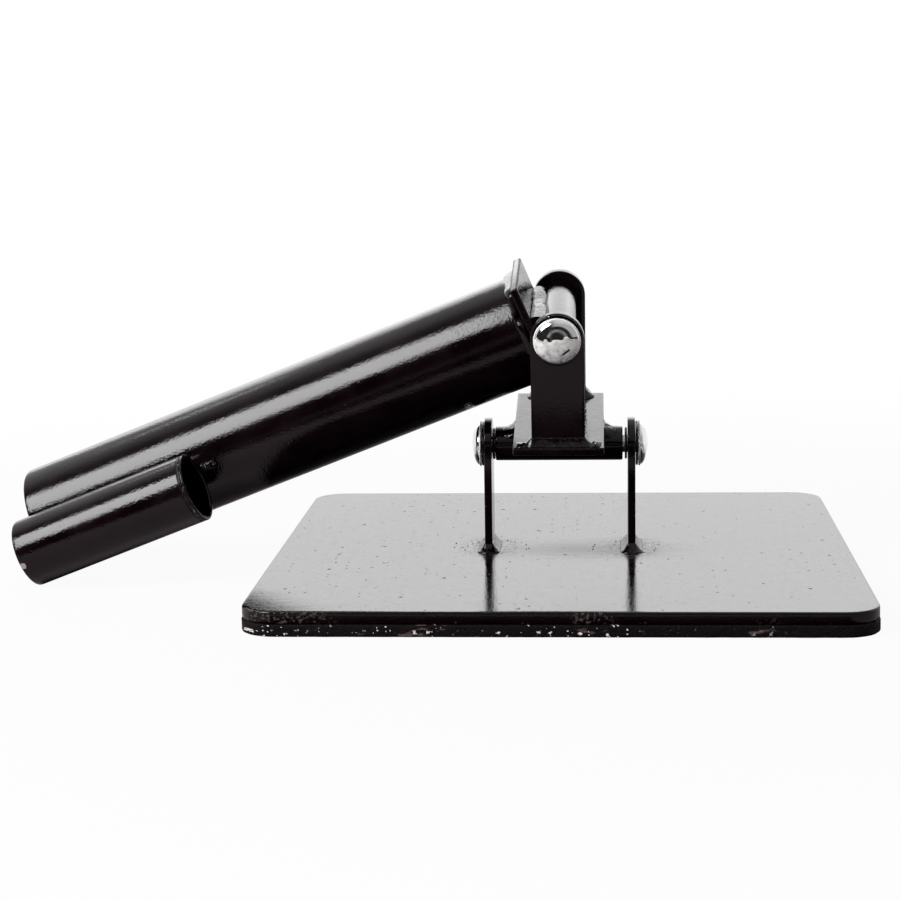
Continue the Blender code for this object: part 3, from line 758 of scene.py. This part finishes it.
def make_paint(name, wear=0.3, bare_spot=None, roughness=(0.09, 0.17), peel_depth=60 * MICRON, mottle=0.0,
               nib_spacing=8 * MM, dull_edge=0.0):
    """Gloss black paint, with orange peel, dust, hazy patches and chipped edges.

    mottle is the depth of its lumps, and dull_edge the roughness of its edges.
    """
    material, tree = clear_material(name)
    skin_height = tree.group(PAINT_SKIN, Peel_Depth=peel_depth, Nib_Spacing=nib_spacing)["Height"]
    chips = tree.group(WORN_EDGE, Wear=wear)["Chips"]
    if bare_spot:
        place, reach = bare_spot
        ragged = tree.vector_math("DISTANCE", tree.place(), place) + tree.noise(2.5 * MM, 3.0) * reach
        chips = chips.larger(ragged.ramp(reach * 1.2, reach * 1.1))
    haze = tree.noise(20 * MM, 4.0).ramp(0.35, 0.7)
    dull = haze.ramp(0.0, 1.0, *roughness, smooth=False) + chips * 0.25
    if dull_edge:
        dull = dull.larger(tree.edge() * dull_edge)
    color = tree.mix(chips, tree.mix(haze, BLACK, WARM_BLACK), BARE_STEEL)
    height = skin_height - chips * (50 * MICRON)
    if mottle:
        height = height + tree.noise(3.5 * MM, 3.0) * mottle
    return finish_surface(material, tree, color, dull, height, metallic=chips)


def side_place(tree):
    """A place on a slab's sides, unrolled: round the sides in X, and up them in Y."""
    place = tree.place()
    return tree.add("ShaderNodeCombineXYZ", {0: place.axis("X") + place.axis("Y"), 1: place.axis("Z")})[0]


def away_from_lugs(tree):
    """How far a place on the plate is from the nearest lug, with a ragged border."""
    ragged = (tree.noise(12 * MM, 3.0) - 0.5) * (16 * MM)
    away = []
    for side, _ in SIDE_SIGNS:
        low, high = span(side + "_lug", PLATE)
        half = ((high.x - low.x) / 2, (high.y - low.y) / 2, 1.0)
        offset = tree.vector_math("ABSOLUTE", tree.vector_math("SUBTRACT", tree.place(), (low + high) / 2))
        offset = tree.vector_math("MAXIMUM", tree.vector_math("SUBTRACT", offset, half), (0, 0, 0))
        away.append(tree.vector_math("LENGTH", offset) + ragged)
    return tree.math("MINIMUM", *away)


def make_plate_paint():
    """The plate's paint: as the rest, with grit under it, streaks, scuffs, a smear and worn sides."""
    material, tree = clear_material("plate_paint")
    place = tree.place()
    top = tree.math("GREATER_THAN", tree.add("ShaderNodeNewGeometry")["Normal"].axis("Z"), 0.7)

    def flecks(spacing, size, share):
        return tree.group(GRIT_FLECKS, Place=place, Spacing=spacing, Size=size, Share=share)["Flecks"] * top

    def less_to_the_right(left, right):
        return place.axis("X").ramp(-20 * MM, 70 * MM, left, right)

    grit = flecks(20 * MM, 1.1 * MM, less_to_the_right(0.40, 0.15)).larger(
        flecks(7 * MM, 0.7 * MM, less_to_the_right(0.20, 0.10)))
    away = away_from_lugs(tree)
    near = away.ramp(22 * MM, 4 * MM)
    scuffed = near * tree.noise(3 * MM, 3.0).ramp(0.42, 0.6)
    rings = tree.math("SINE", away * RING_TIGHTNESS) * near
    worn = tree.group(WORN_EDGE, Wear=0.42, Chip_Size=1.5 * MM)["Chips"] * 0.6
    by_corner = tree.vector_math("DISTANCE", place, WORN_CORNER).ramp(35 * MM, 15 * MM)
    worn_parts = by_corner.larger(tree.noise(40 * MM).ramp(0.60, 0.68)) * (1.0 - top)
    side_wear = tree.noise(1.6 * MM, 4.0).ramp(0.53, 0.62) * worn_parts
    streaks = tree.noise(4 * MM, 4.0, stretch=(8, 1, 1))
    haze = tree.noise(50 * MM, 3.0).ramp(0.3, 0.75)
    between = tree.vector_math("MULTIPLY", tree.vector_math("SUBTRACT", place, SMEAR_MIDDLE), (0.3, 0.6, 0))
    smear = (tree.vector_math("LENGTH", between) + streaks * (20 * MM)).ramp(36 * MM, 8 * MM, 0.0, 0.22)
    dull = streaks.ramp(0.3, 0.7, 0.075, 0.11) + haze * 0.025 + scuffed * 0.12 + smear
    dull = tree.math("ADD", dull, grit.larger(worn).larger(side_wear) * 0.5, clamp=True)
    color = tree.mix(scuffed * 0.12, tree.mix(haze, BLACK, WARM_BLACK), SCUFF)
    color = tree.mix(worn.larger(side_wear) * 0.28, color, SCUFF)
    height = tree.group(PAINT_SKIN, Peel_Size=0.8 * MM, Peel_Depth=40 * MICRON, Nib_Spacing=10 * MM,
                        Nib_Size=0.4 * MM)["Height"]
    for bumps, depth in ((grit, 400), (rings, 20), (scuffed, 70), (streaks, 14),
                         (flecks(1.8 * MM, 0.5 * MM, 0.10), 100), (side_wear, -100)):
        height = height + bumps * (depth * MICRON)
    return finish_surface(material, tree, color, dull, height, specular=0.475)


def make_weld_paint(name, lump_size=3.4 * MM, lump_depth=250 * MICRON, stretch=(1, 1, 1), grain=30 * MICRON):
    """Paint over a weld: glossy and uneven, with a few bare specks. Grain is the depth of its fine bumps."""
    material, tree = clear_material(name)
    lumps = tree.noise(lump_size, 1.0, stretch)
    specks = tree.noise(1.1 * MM, 3.0).ramp(0.71, 0.75)
    color = tree.mix(specks * 0.5, tree.mix(lumps.ramp(0.5, 0.35), BLACK, WARM_BLACK), DULL_STEEL)
    dull = lumps.ramp(0.35, 0.6, 0.20, 0.10) + specks * 0.2
    return finish_surface(material, tree, color, dull, lumps * lump_depth + tree.noise(0.9 * MM) * grain)


def make_rubber():
    """The mat's crumb rubber: matt black with a torn grain, and pale crumbs, most low on its sides."""
    material, tree = clear_material("crumb_rubber")
    sides = side_place(tree)
    crumbs = tree.group(GRIT_FLECKS, Place=sides, Spacing=4.8 * MM, Size=1.5 * MM, Share=0.55)["Flecks"]
    dust = tree.group(GRIT_FLECKS, Place=sides, Spacing=2 * MM, Size=0.5 * MM, Share=0.20)["Flecks"]
    low = tree.place().axis("Z").ramp(3.8 * MM, 2.6 * MM)
    more_to_the_left = tree.place().axis("X").ramp(50 * MM, -50 * MM, 0.0, 0.12)
    patches = (tree.noise(35 * MM) + more_to_the_left).ramp(0.44, 0.56)
    torn = tree.noise(2.2 * MM, 5.0, stretch=(4, 4, 1)).ramp(0.58, 0.66) * tree.noise(20 * MM).ramp(0.48, 0.6)
    grain = tree.noise(1.1 * MM, 4.0)
    color = tree.mix(grain, (0.001, 0.0005, 0.0007, 1), (0.007, 0.0042, 0.0047, 1))
    color = tree.mix(torn * 0.35, color, (0.22, 0.17, 0.165, 1))
    color = tree.mix((crumbs * low).larger(dust) * patches, color, (0.68, 0.66, 0.63, 1))
    height = grain * (600 * MICRON) + crumbs * (200 * MICRON)
    return finish_surface(material, tree, color, grain.ramp(0.3, 0.7, 0.55, 0.85), height, specular=0.2)


def painted_dark_reflection_at(tree, centre):
    """A painted dark reflection: a short dark stroke that slants up to the right, on a cap that faces the front.
    """
    offset = tree.vector_math("SUBTRACT", tree.place(), centre)
    along = abs(tree.vector_math("DOT_PRODUCT", offset, (0.8, 0.0, 0.6)))
    across = abs(tree.vector_math("DOT_PRODUCT", offset, (-0.6, 0.0, 0.8)))
    return along.ramp(2.6 * MM, 2.1 * MM) * across.ramp(0.65 * MM, 0.40 * MM)


def make_chrome(name, painted_reflection_from=None):
    """Polished chrome, with faint haze and hairlines. Its rolled rim is satin, and is made pale and less metallic
    as a painted highlight.

    Below a given point, a pale matt film is a painted reflection of the floor, and there a dark stroke is a
    painted dark reflection.
    """
    material, tree = clear_material(name)
    haze = tree.noise(3.5 * MM, 4.0).ramp(0.45, 0.6)
    dull = haze.ramp(0.0, 1.0, 0.05, 0.16, smooth=False)
    # painted highlight: the rolled rim is made pale, satin and less metallic, to stand for a bright ring of light
    # on it
    matt = tree.edge()
    color = tree.mix(haze, (0.79, 0.79, 0.785, 1), (0.69, 0.69, 0.685, 1))
    if painted_reflection_from:
        # painted reflection: low on the cap, a pale matt film with a wavy top edge stands for the floor seen in
        # it, and the rim's painted highlight fades out below
        below = painted_reflection_from.z - tree.place().axis("Z")
        rim = matt * below.ramp(8 * MM, 4 * MM)
        wave = (tree.noise(5.5 * MM) - 0.5) * (15 * MM)
        painted_low_reflection = (below + wave).ramp(-1.8 * MM, -1.1 * MM) * (1.0 - matt)
        matt = rim.larger(painted_low_reflection * tree.noise(2.2 * MM, 3.0).ramp(0.38, 0.62, 0.6, 1.0))
        # painted dark reflection: where the dark stroke lies on the front cap
        painted_dark_stroke = painted_dark_reflection_at(tree, painted_reflection_from + Vector((4.5, 0, -5.0)) * MM)
    dull = dull.larger(matt * 0.45)
    # pale colour for the painted highlight on the rim and the painted reflection low on the front cap
    color = tree.mix(matt, color, (0.93, 0.96, 0.94, 1))
    bright = 1.0 - matt * 0.78
    if painted_reflection_from:
        # painted dark reflection: the stroke is near black and not metallic
        color = tree.mix(painted_dark_stroke, color, (0.012, 0.012, 0.012, 1))
        bright = bright * (1.0 - painted_dark_stroke)
    hairlines = tree.noise(0.5 * MM, stretch=(1, 14, 14))
    return finish_surface(material, tree, color, dull, hairlines * (1.2 * MICRON), metallic=bright)


def make_zinc():
    """Zinc-plated steel with a crystal mottle."""
    material, tree = clear_material("zinc_plating")
    cells = tree.add("ShaderNodeTexVoronoi", {"Vector": tree.place(), "Scale": 900.0})
    mottle = tree.add("ShaderNodeSeparateColor", {0: cells["Color"]})[0]
    color = tree.mix(mottle, (0.62, 0.62, 0.61, 1), (0.46, 0.46, 0.45, 1))
    dull = mottle.ramp(0.0, 1.0, 0.24, 0.38, smooth=False)
    height = tree.noise(0.6 * MM, 3.0) * (20 * MICRON)
    return finish_surface(material, tree, color, dull, height, metallic=1.0)


# Pieces

STANDING = Matrix(((0, 0, 1), (1, 0, 0), (0, 1, 0))).to_4x4()     # a slab's X, Y, Z to back, up, right
FACING = Matrix(((1, 0, 0), (0, 0, -1), (0, 1, 0))).to_4x4()      # a slab's X, Y, Z to right, up, front


def slab_piece(node, place, outline_of, edge, material, hole=False, wander=0.0):
    """A slab in the middle of its CAD node. outline_of gives the outline for a size and an inset."""
    low, high = span(node, place)
    place = place @ Matrix.Translation((0, 0, (low.z + high.z) / 2))
    hole_radius = round_size(node, place)[0] if hole else 0.0
    mesh = slab_mesh(lambda depth: outline_of(low, high, depth), high.z - low.z, edge, hole_radius, wander)
    add_piece(node, "finish", mesh, material, place)


def plate_outline(low, high, depth):
    """The base plate's outline, with enough points for an uneven mat edge."""
    rectangle = rounded_rectangle(high.x - low.x, high.y - low.y, PLATE_CORNER)
    points = inset(subdivided(rectangle, 2.5 * MM), depth)
    return [point + (low.xy + high.xy) / 2 for point in points]


def mat_outline(low, high, depth):
    """The mat's outline, set in by what its cut edge wanders."""
    return plate_outline(low, high, depth + MAT_WANDER)


def square_outline(low, high, depth):
    """The outline of a plate with nearly square corners."""
    width, height = high.x - low.x - 2 * depth, high.y - low.y - 2 * depth
    points = rounded_rectangle(width, height, max(0, SQUARE_CORNER - depth), 3)
    return [point + (low.xy + high.xy) / 2 for point in points]


def bar_outline(low, high, depth):
    return round_topped(high.x - low.x - 2 * depth, low.y + depth)


def corner_run(start, end, seed):
    """A low bead that runs from a bar's corner out over the plate. start and end are (x, y)."""
    return bead_mesh([start, end], oval(20, 4.0 * MM, 1.1 * MM), Seed=seed, Ripple_Pitch=2.6 * MM,
                     Ripple_Height=0.1 * MM, Lump_Size=2.8 * MM, Lump_Height=0.45 * MM, End_Taper=0.95)


def foot_piece(bar_node, place, seed, runs_out=False):
    """The bead around a bar's foot, as wide on each side as its node. It may run out at the front."""
    node = bar_node + "_weld"
    bar_low, bar_high = span(bar_node, place)
    low, high = span(node, place)
    centre = (bar_low + bar_high) / 2
    half = (bar_high - bar_low) / 2
    out = high.x - bar_high.x
    mesh = bead_mesh(rounded_rectangle(2 * half.x, 2 * half.y, 0.4 * MM, steps=3),
                     fillet_section(out, high.z - low.z, -0.3 * MM), True, Seed=seed, Ripple_Pitch=2.4 * MM,
                     Ripple_Height=0.07 * MM, Lump_Size=4.0 * MM, Lump_Height=0.32 * MM)
    for vertex in mesh.vertices:
        for sign, room in ((-1, bar_low.y - low.y), (1, high.y - bar_high.y)):
            beyond = sign * vertex.co.y - half.y
            if beyond > 0:
                vertex.co.y = sign * (half.y + beyond * room / out)
    if runs_out:
        for _, sign in SIDE_SIGNS:
            corner = (sign * (half.x - 1 * MM), -half.y + 2.5 * MM)
            away = (sign * (half.x + 8.2 * MM), -half.y + 0.6 * MM)
            mesh = joined(mesh, corner_run(corner, away, seed + sign))
    add_piece(node, "bead", mesh, WELD_PAINT, place @ Matrix.Translation((centre.x, centre.y, low.z)))


def saddle_fillet(side, sign):
    """The hollow bead from the saddle plate's side down onto the lower sleeve's round top."""
    node = side + "_saddle_weld"
    low, high = span(node, SADDLE)
    sleeve = round_size("lower_sleeve", SADDLE @ ALONG_X)[1]
    near = span("saddle_plate", SADDLE)[1].x - 0.2 * MM
    width = max(abs(low.x), abs(high.x)) - near
    buried = 0.7 * MM
    rows = []
    for i in range(41):
        share = i / 20 - 1
        y = share * high.y
        fullness = math.sqrt(max(0.0, 1 - abs(share) ** 6)) * 0.75 + 0.25
        ground = math.sqrt(sleeve ** 2 - y ** 2)
        row = [Vector((near, y, ground - buried))]
        for angle in quarter_turn(10):
            x = near + width * fullness * (1 - math.cos(angle))
            z = ground + (high.z - ground) * (0.35 + 0.65 * fullness) * (1 - math.sin(angle))
            lump = noise.noise(Vector((x * sign, y, z)) / (2.6 * MM)) * 0.45 * MM
            row.append(Vector((x + lump * math.sin(angle), y, z + lump * math.cos(angle))))
        row.append(Vector((near + width * fullness, y, ground - buried)))
        rows.append([Vector((sign * point.x, point.y, point.z)) for point in row])
    add_piece(node, "bead", lofted_mesh(rows), WELD_PAINT, SADDLE)


def sleeve_bead(level, sign):
    """The bead between the end plate and the upper sleeve, above or below."""
    node = "end_plate_weld_" + level
    low, high = span(node, TUBES)
    sleeve = round_size("upper_sleeve", TUBES @ ALONG_Y)[1]
    toe = high.x + 2.0 * MM
    rise = math.sqrt(sleeve ** 2 - toe ** 2)
    top = max(abs(low.z), abs(high.z)) + 0.6 * MM
    section = [(low.x - 0.5 * MM, rise - 4 * MM), (low.x - 0.5 * MM, top - 0.6 * MM)]
    for step in range(11):
        share = step / 10
        bulge = 4 * share * (1 - share) * 0.9 * MM
        section.append((low.x + (toe - low.x) * share + bulge * 0.5, top + (rise - top) * share + bulge))
    section.append((toe - 0.8 * MM, rise - 1.2 * MM))
    mesh = bead_mesh([(0, low.y), (0, high.y)], [(x, sign * z) for x, z in section], Seed=3.0 + sign,
                     Ripple_Pitch=3.4 * MM, Ripple_Height=0.0, Lump_Size=30.0 * MM, Lump_Height=0.6 * MM)
    add_piece(node, "bead", mesh, SMOOTH_WELD_PAINT, TUBES)


def end_plate_ledge(radius):
    """The weld built up behind the end plate's top edge, from its front nearly to its rear."""
    low, high = span("tube_end_plate", TUBES)
    top, reach = high.z - 0.3 * MM, 4.6 * MM
    front, rear = low.y + 1.2 * MM, high.y - 8 * MM
    rows = []
    for i in range(61):
        share = i / 60
        y = front + (rear - front) * share
        fullness = math.sqrt(max(0.0, 1 - max(0.0, (share - 0.65) / 0.35) ** 2))
        fullness *= 0.8 + 0.2 * min(1.0, share / 0.1)
        ground = math.sqrt((radius - 0.8 * MM) ** 2 - y ** 2)
        row = [Vector((low.x + 0.3 * MM, y, ground))]
        for angle in quarter_turn(12):
            point = Vector((low.x + 0.3 * MM - reach * fullness * math.sin(angle) ** 0.8, y,
                            ground + (top - ground) * (0.3 + 0.7 * fullness) * math.cos(angle) ** 0.3))
            lump = noise.noise(point / (4.0 * MM)) * 0.9 * MM * math.sin(angle)
            row.append(point + Vector((-lump, 0, -0.3 * abs(lump))))
        rows.append(row)
    return lofted_mesh(rows)


def tube_end_bead():
    """The crowned bead round the large tube's end, in the corner behind the end plate."""
    node = "tube_end_weld"
    place = TUBES @ ALONG_X
    radius = round_size("large_tube", place)[1]
    _, outer, low, high = round_size(node, place)
    height, reach, buried = outer - radius + 0.9 * MM, high - low + 1.0 * MM, 0.8 * MM
    section = [(-buried, high), (height * 0.85, high)]
    for step in range(9):
        angle = math.pi / 2 * (0.12 + 0.88 * step / 8)
        section.append((height * math.cos(angle) ** 0.8, high - reach * math.sin(angle) ** 1.3))
    section.append((-buried, high - reach + buried))
    mesh = bead_mesh(oval(180, radius), section, True, Seed=9.0, Ripple_Pitch=2.8 * MM,
                     Ripple_Height=0.03 * MM, Lump_Size=12.0 * MM, Lump_Height=0.6 * MM)
    # The ring is ground flush with the plate's top edge, and its X points down
    flush = span("tube_end_plate", TUBES)[1].z - 0.6 * MM
    for vertex in mesh.vertices:
        vertex.co.x = max(vertex.co.x, -flush)
    ledge = end_plate_ledge(radius)
    ledge.transform(ALONG_X.inverted())
    add_piece(node, "bead", joined(mesh, ledge), TUBE_WELD_PAINT, place)


def tack(node, seed):
    """A short round-ended bead along the tubes."""
    low, high = span(node, TUBES)
    size = high - low
    mesh = bead_mesh([(0, -size.x / 2), (0, size.x / 2)], oval(20, size.y / 2, size.z / 2), Seed=seed,
                     Ripple_Pitch=2.7 * MM, Ripple_Height=0.4 * MM, Lump_Size=3.0 * MM, Lump_Height=1.1 * MM,
                     End_Taper=0.95)
    along = Matrix.Rotation(math.radians(-90), 4, "Z")
    add_piece(node, "bead", mesh, TACK_PAINT, TUBES @ Matrix.Translation((low + high) / 2) @ along)


def small_tube_piece():
    """The narrow tube, with the groove that sets off a lip at its inner end."""
    node = "small_tube"
    place = TUBES @ Matrix.Translation(middle_of(node, TUBES)) @ ALONG_X
    inner, outer, low, high = round_size(node, place)
    groove, depth = high - 2.2 * MM, 0.4 * MM
    profile = rounded_profile([
        (inner, high), (outer, high), (outer, groove), (outer - depth, groove - depth),
        (outer, groove - 2 * depth), (outer, low), (inner, low)], TUBE_EDGE)
    add_piece(node, "finish", turned_mesh(profile, TURNED_SIDES), SMALL_TUBE_PAINT, place)


def dome_piece(node, place, outward, material):
    """A pressed chrome cap: a rolled rim, a crease and a low dome. outward is its sign along Z."""
    _, outer, low, high = round_size(node, place)
    height, foot, roll, crease, wall = high - low, 0.8 * MM, 0.45 * MM, 0.7 * MM, 0.6 * MM
    dome, rise = outer - crease, height - foot
    # The rim's points have edge share 1, where the chrome paints its highlight ring
    points = [(outer - 0.3 * MM, 0.0, 1.0)]
    for step in range(9):
        angle = math.radians(-50 + step * 20)
        points.append((outer - roll + roll * math.cos(angle), roll + roll * math.sin(angle), 1.0))
    for radius, level, top, angles in ((dome, foot, rise, reversed(quarter_turn(24))),
                                       (dome - wall, 0.0, height - wall, quarter_turn(8))):
        points += [(radius * math.sin(angle) ** DOME_FULLNESS, level + top * math.cos(angle), 0.0)
                   for angle in angles]
    points = [(max(radius, 0.0), max(value, 0.0), share) for radius, value, share in points]
    base = low if outward > 0 else high
    flip = Matrix.Identity(4) if outward > 0 else Matrix.Rotation(math.pi, 4, "X")
    add_piece(node, "finish", turned_mesh(points, SMALL_TURNED_SIDES), material,
              place @ Matrix.Translation((0, 0, base)) @ flip)


def spatter_piece(node, centre, place, reach, seed):
    """Small drops of weld metal around a bead, on the surface at Z = 0 of place."""
    bm = bmesh.new()
    skin(bm, [[bm.verts.new((centre.x + x, centre.y + y, 0)) for x, y in oval(24, radius)]
              for radius in (reach * 0.35, reach)])
    mesh = grown(finished(bm), SPATTER_TREE, Seed=seed, Drops_per_Area=26000.0)
    add_piece(node, "spatter", mesh, WELD_PAINT, place)


def make_base():
    slab_piece("rubber_mat", PLATE, mat_outline, MAT_EDGE, RUBBER, wander=MAT_WANDER)
    slab_piece("base_plate", PLATE, plate_outline, PLATE_EDGE, PLATE_PAINT)
    plate_top = Matrix.Translation((0, 0, span("base_plate", PLATE)[1].z))
    for side, sign in SIDE_SIGNS:
        lug = side + "_lug"
        slab_piece(lug, LOWER @ STANDING, bar_outline, BAR_EDGE, PAINT, hole=True)
        foot_piece(lug, PLATE, 1.0 + sign)
        spatter_piece(lug, middle_of(lug, PLATE), plate_top, 22 * MM, 5 + sign)
        end_hardware("lower_" + side, LOWER @ ALONG_X, sign)


def end_hardware(end, place, outward):
    """The spacer, washer and dome cap at one end of a pin."""
    for kind in ("spacer", "washer"):
        turned_ring(f"{end}_{kind}", place, HARDWARE_EDGE, PAINT)
    # the upper front cap gets the chrome with a painted reflection and a painted dark stroke
    dome_piece(end + "_cap", place, outward, CHROME_WITH_PAINTED_REFLECTION if end == "upper_front" else CHROME)


def make_saddle():
    turned_ring("lower_sleeve", SADDLE @ ALONG_X, TUBE_EDGE, PAINT)
    slab_piece("saddle_plate", SADDLE, square_outline, BAR_EDGE, SADDLE_PAINT)
    for side, sign in SIDE_SIGNS:
        saddle_fillet(side, sign)
    upper = SADDLE @ Matrix.Translation(SADDLE.inverted() @ UPPER_AXIS)
    saddle_top = SADDLE @ Matrix.Translation((0, 0, span("saddle_plate", SADDLE)[1].z))
    for end, sign in END_SIGNS:
        arm = end + "_arm"
        slab_piece(arm, upper @ FACING, bar_outline, BAR_EDGE, PAINT, hole=True)
        foot_piece(arm, SADDLE, 4.0 + sign, runs_out=end == "front")
        end_hardware("upper_" + end, upper @ ALONG_Y, sign)
        centre = middle_of(arm, SADDLE) - Vector((0, sign * 10 * MM, 0))
        spatter_piece(arm, centre, saddle_top, 9 * MM, 11 + sign)


def make_tubes():
    turned_ring("upper_sleeve", TUBES @ ALONG_Y, TUBE_EDGE, SLEEVE_PAINT)
    slab_piece("tube_end_plate", TUBES @ STANDING, square_outline, BAR_EDGE, END_PLATE_PAINT)
    turned_ring("large_tube", TUBES @ ALONG_X, TUBE_EDGE, TUBE_PAINT, TURNED_SIDES)
    small_tube_piece()
    tube_end_bead()
    for level, sign in (("upper", 1), ("lower", -1)):
        sleeve_bead(level, sign)
    tack("mouth_tack_weld", 21.0)
    tack("inner_tack_weld", 24.0)


def finish_steel():
    """The pins and lock rings are as their CAD nodes are, and get the plating."""
    for node in BODY_OF:
        if node.endswith("_pin") or node.endswith("_lock_ring"):
            obj = frame["nodes"][node]
            obj.data.materials.clear()
            obj.data.materials.append(ZINC)
            for polygon in obj.data.polygons:
                polygon.use_smooth = False


TURNED_TREE = build_turned_tree()
BEAD_TREE = build_bead_tree()
SPATTER_TREE = build_spatter_tree()
PAINT_SKIN = build_paint_skin()
WORN_EDGE = build_worn_edge()
GRIT_FLECKS = build_grit_flecks()
PAINT = make_paint("black_paint_finish", peel_depth=30 * MICRON)
TUBE_PAINT = make_paint("tube_paint", wear=0.2, roughness=(0.08, 0.15), peel_depth=100 * MICRON,
                        nib_spacing=6 * MM)
SMALL_TUBE_PAINT = make_paint("small_tube_paint", wear=0.2, peel_depth=100 * MICRON,
                              bare_spot=((-0.2805, -0.0605, 0.0140), 2.4 * MM))
SADDLE_PAINT = make_paint("saddle_paint", wear=0.35, roughness=(0.08, 0.20), mottle=80 * MICRON)
END_PLATE_PAINT = make_paint("end_plate_paint", wear=0.35, roughness=(0.10, 0.20), mottle=300 * MICRON,
                             dull_edge=0.5)
SLEEVE_PAINT = make_paint("sleeve_paint", roughness=(0.08, 0.16), mottle=40 * MICRON, nib_spacing=4 * MM)
PLATE_PAINT = make_plate_paint()
WELD_PAINT = make_weld_paint("weld_paint", grain=70 * MICRON)
SMOOTH_WELD_PAINT = make_weld_paint("smooth_weld_paint", 2.8 * MM, 400 * MICRON, stretch=(1, 2.5, 1))
TUBE_WELD_PAINT = make_weld_paint("tube_weld_paint", 4.5 * MM, 300 * MICRON, grain=60 * MICRON)
TACK_PAINT = make_weld_paint("tack_paint", 1.6 * MM, 500 * MICRON, grain=100 * MICRON)
RUBBER = make_rubber()
CHROME = make_chrome("polished_chrome")
# The front cap's chrome: a painted reflection low down, and a painted dark reflection
CHROME_WITH_PAINTED_REFLECTION = make_chrome("smeared_chrome", painted_reflection_from=FRONT_CAP)
ZINC = make_zinc()

make_camera()
make_studio()
make_base()
make_saddle()
make_tubes()
finish_steel()
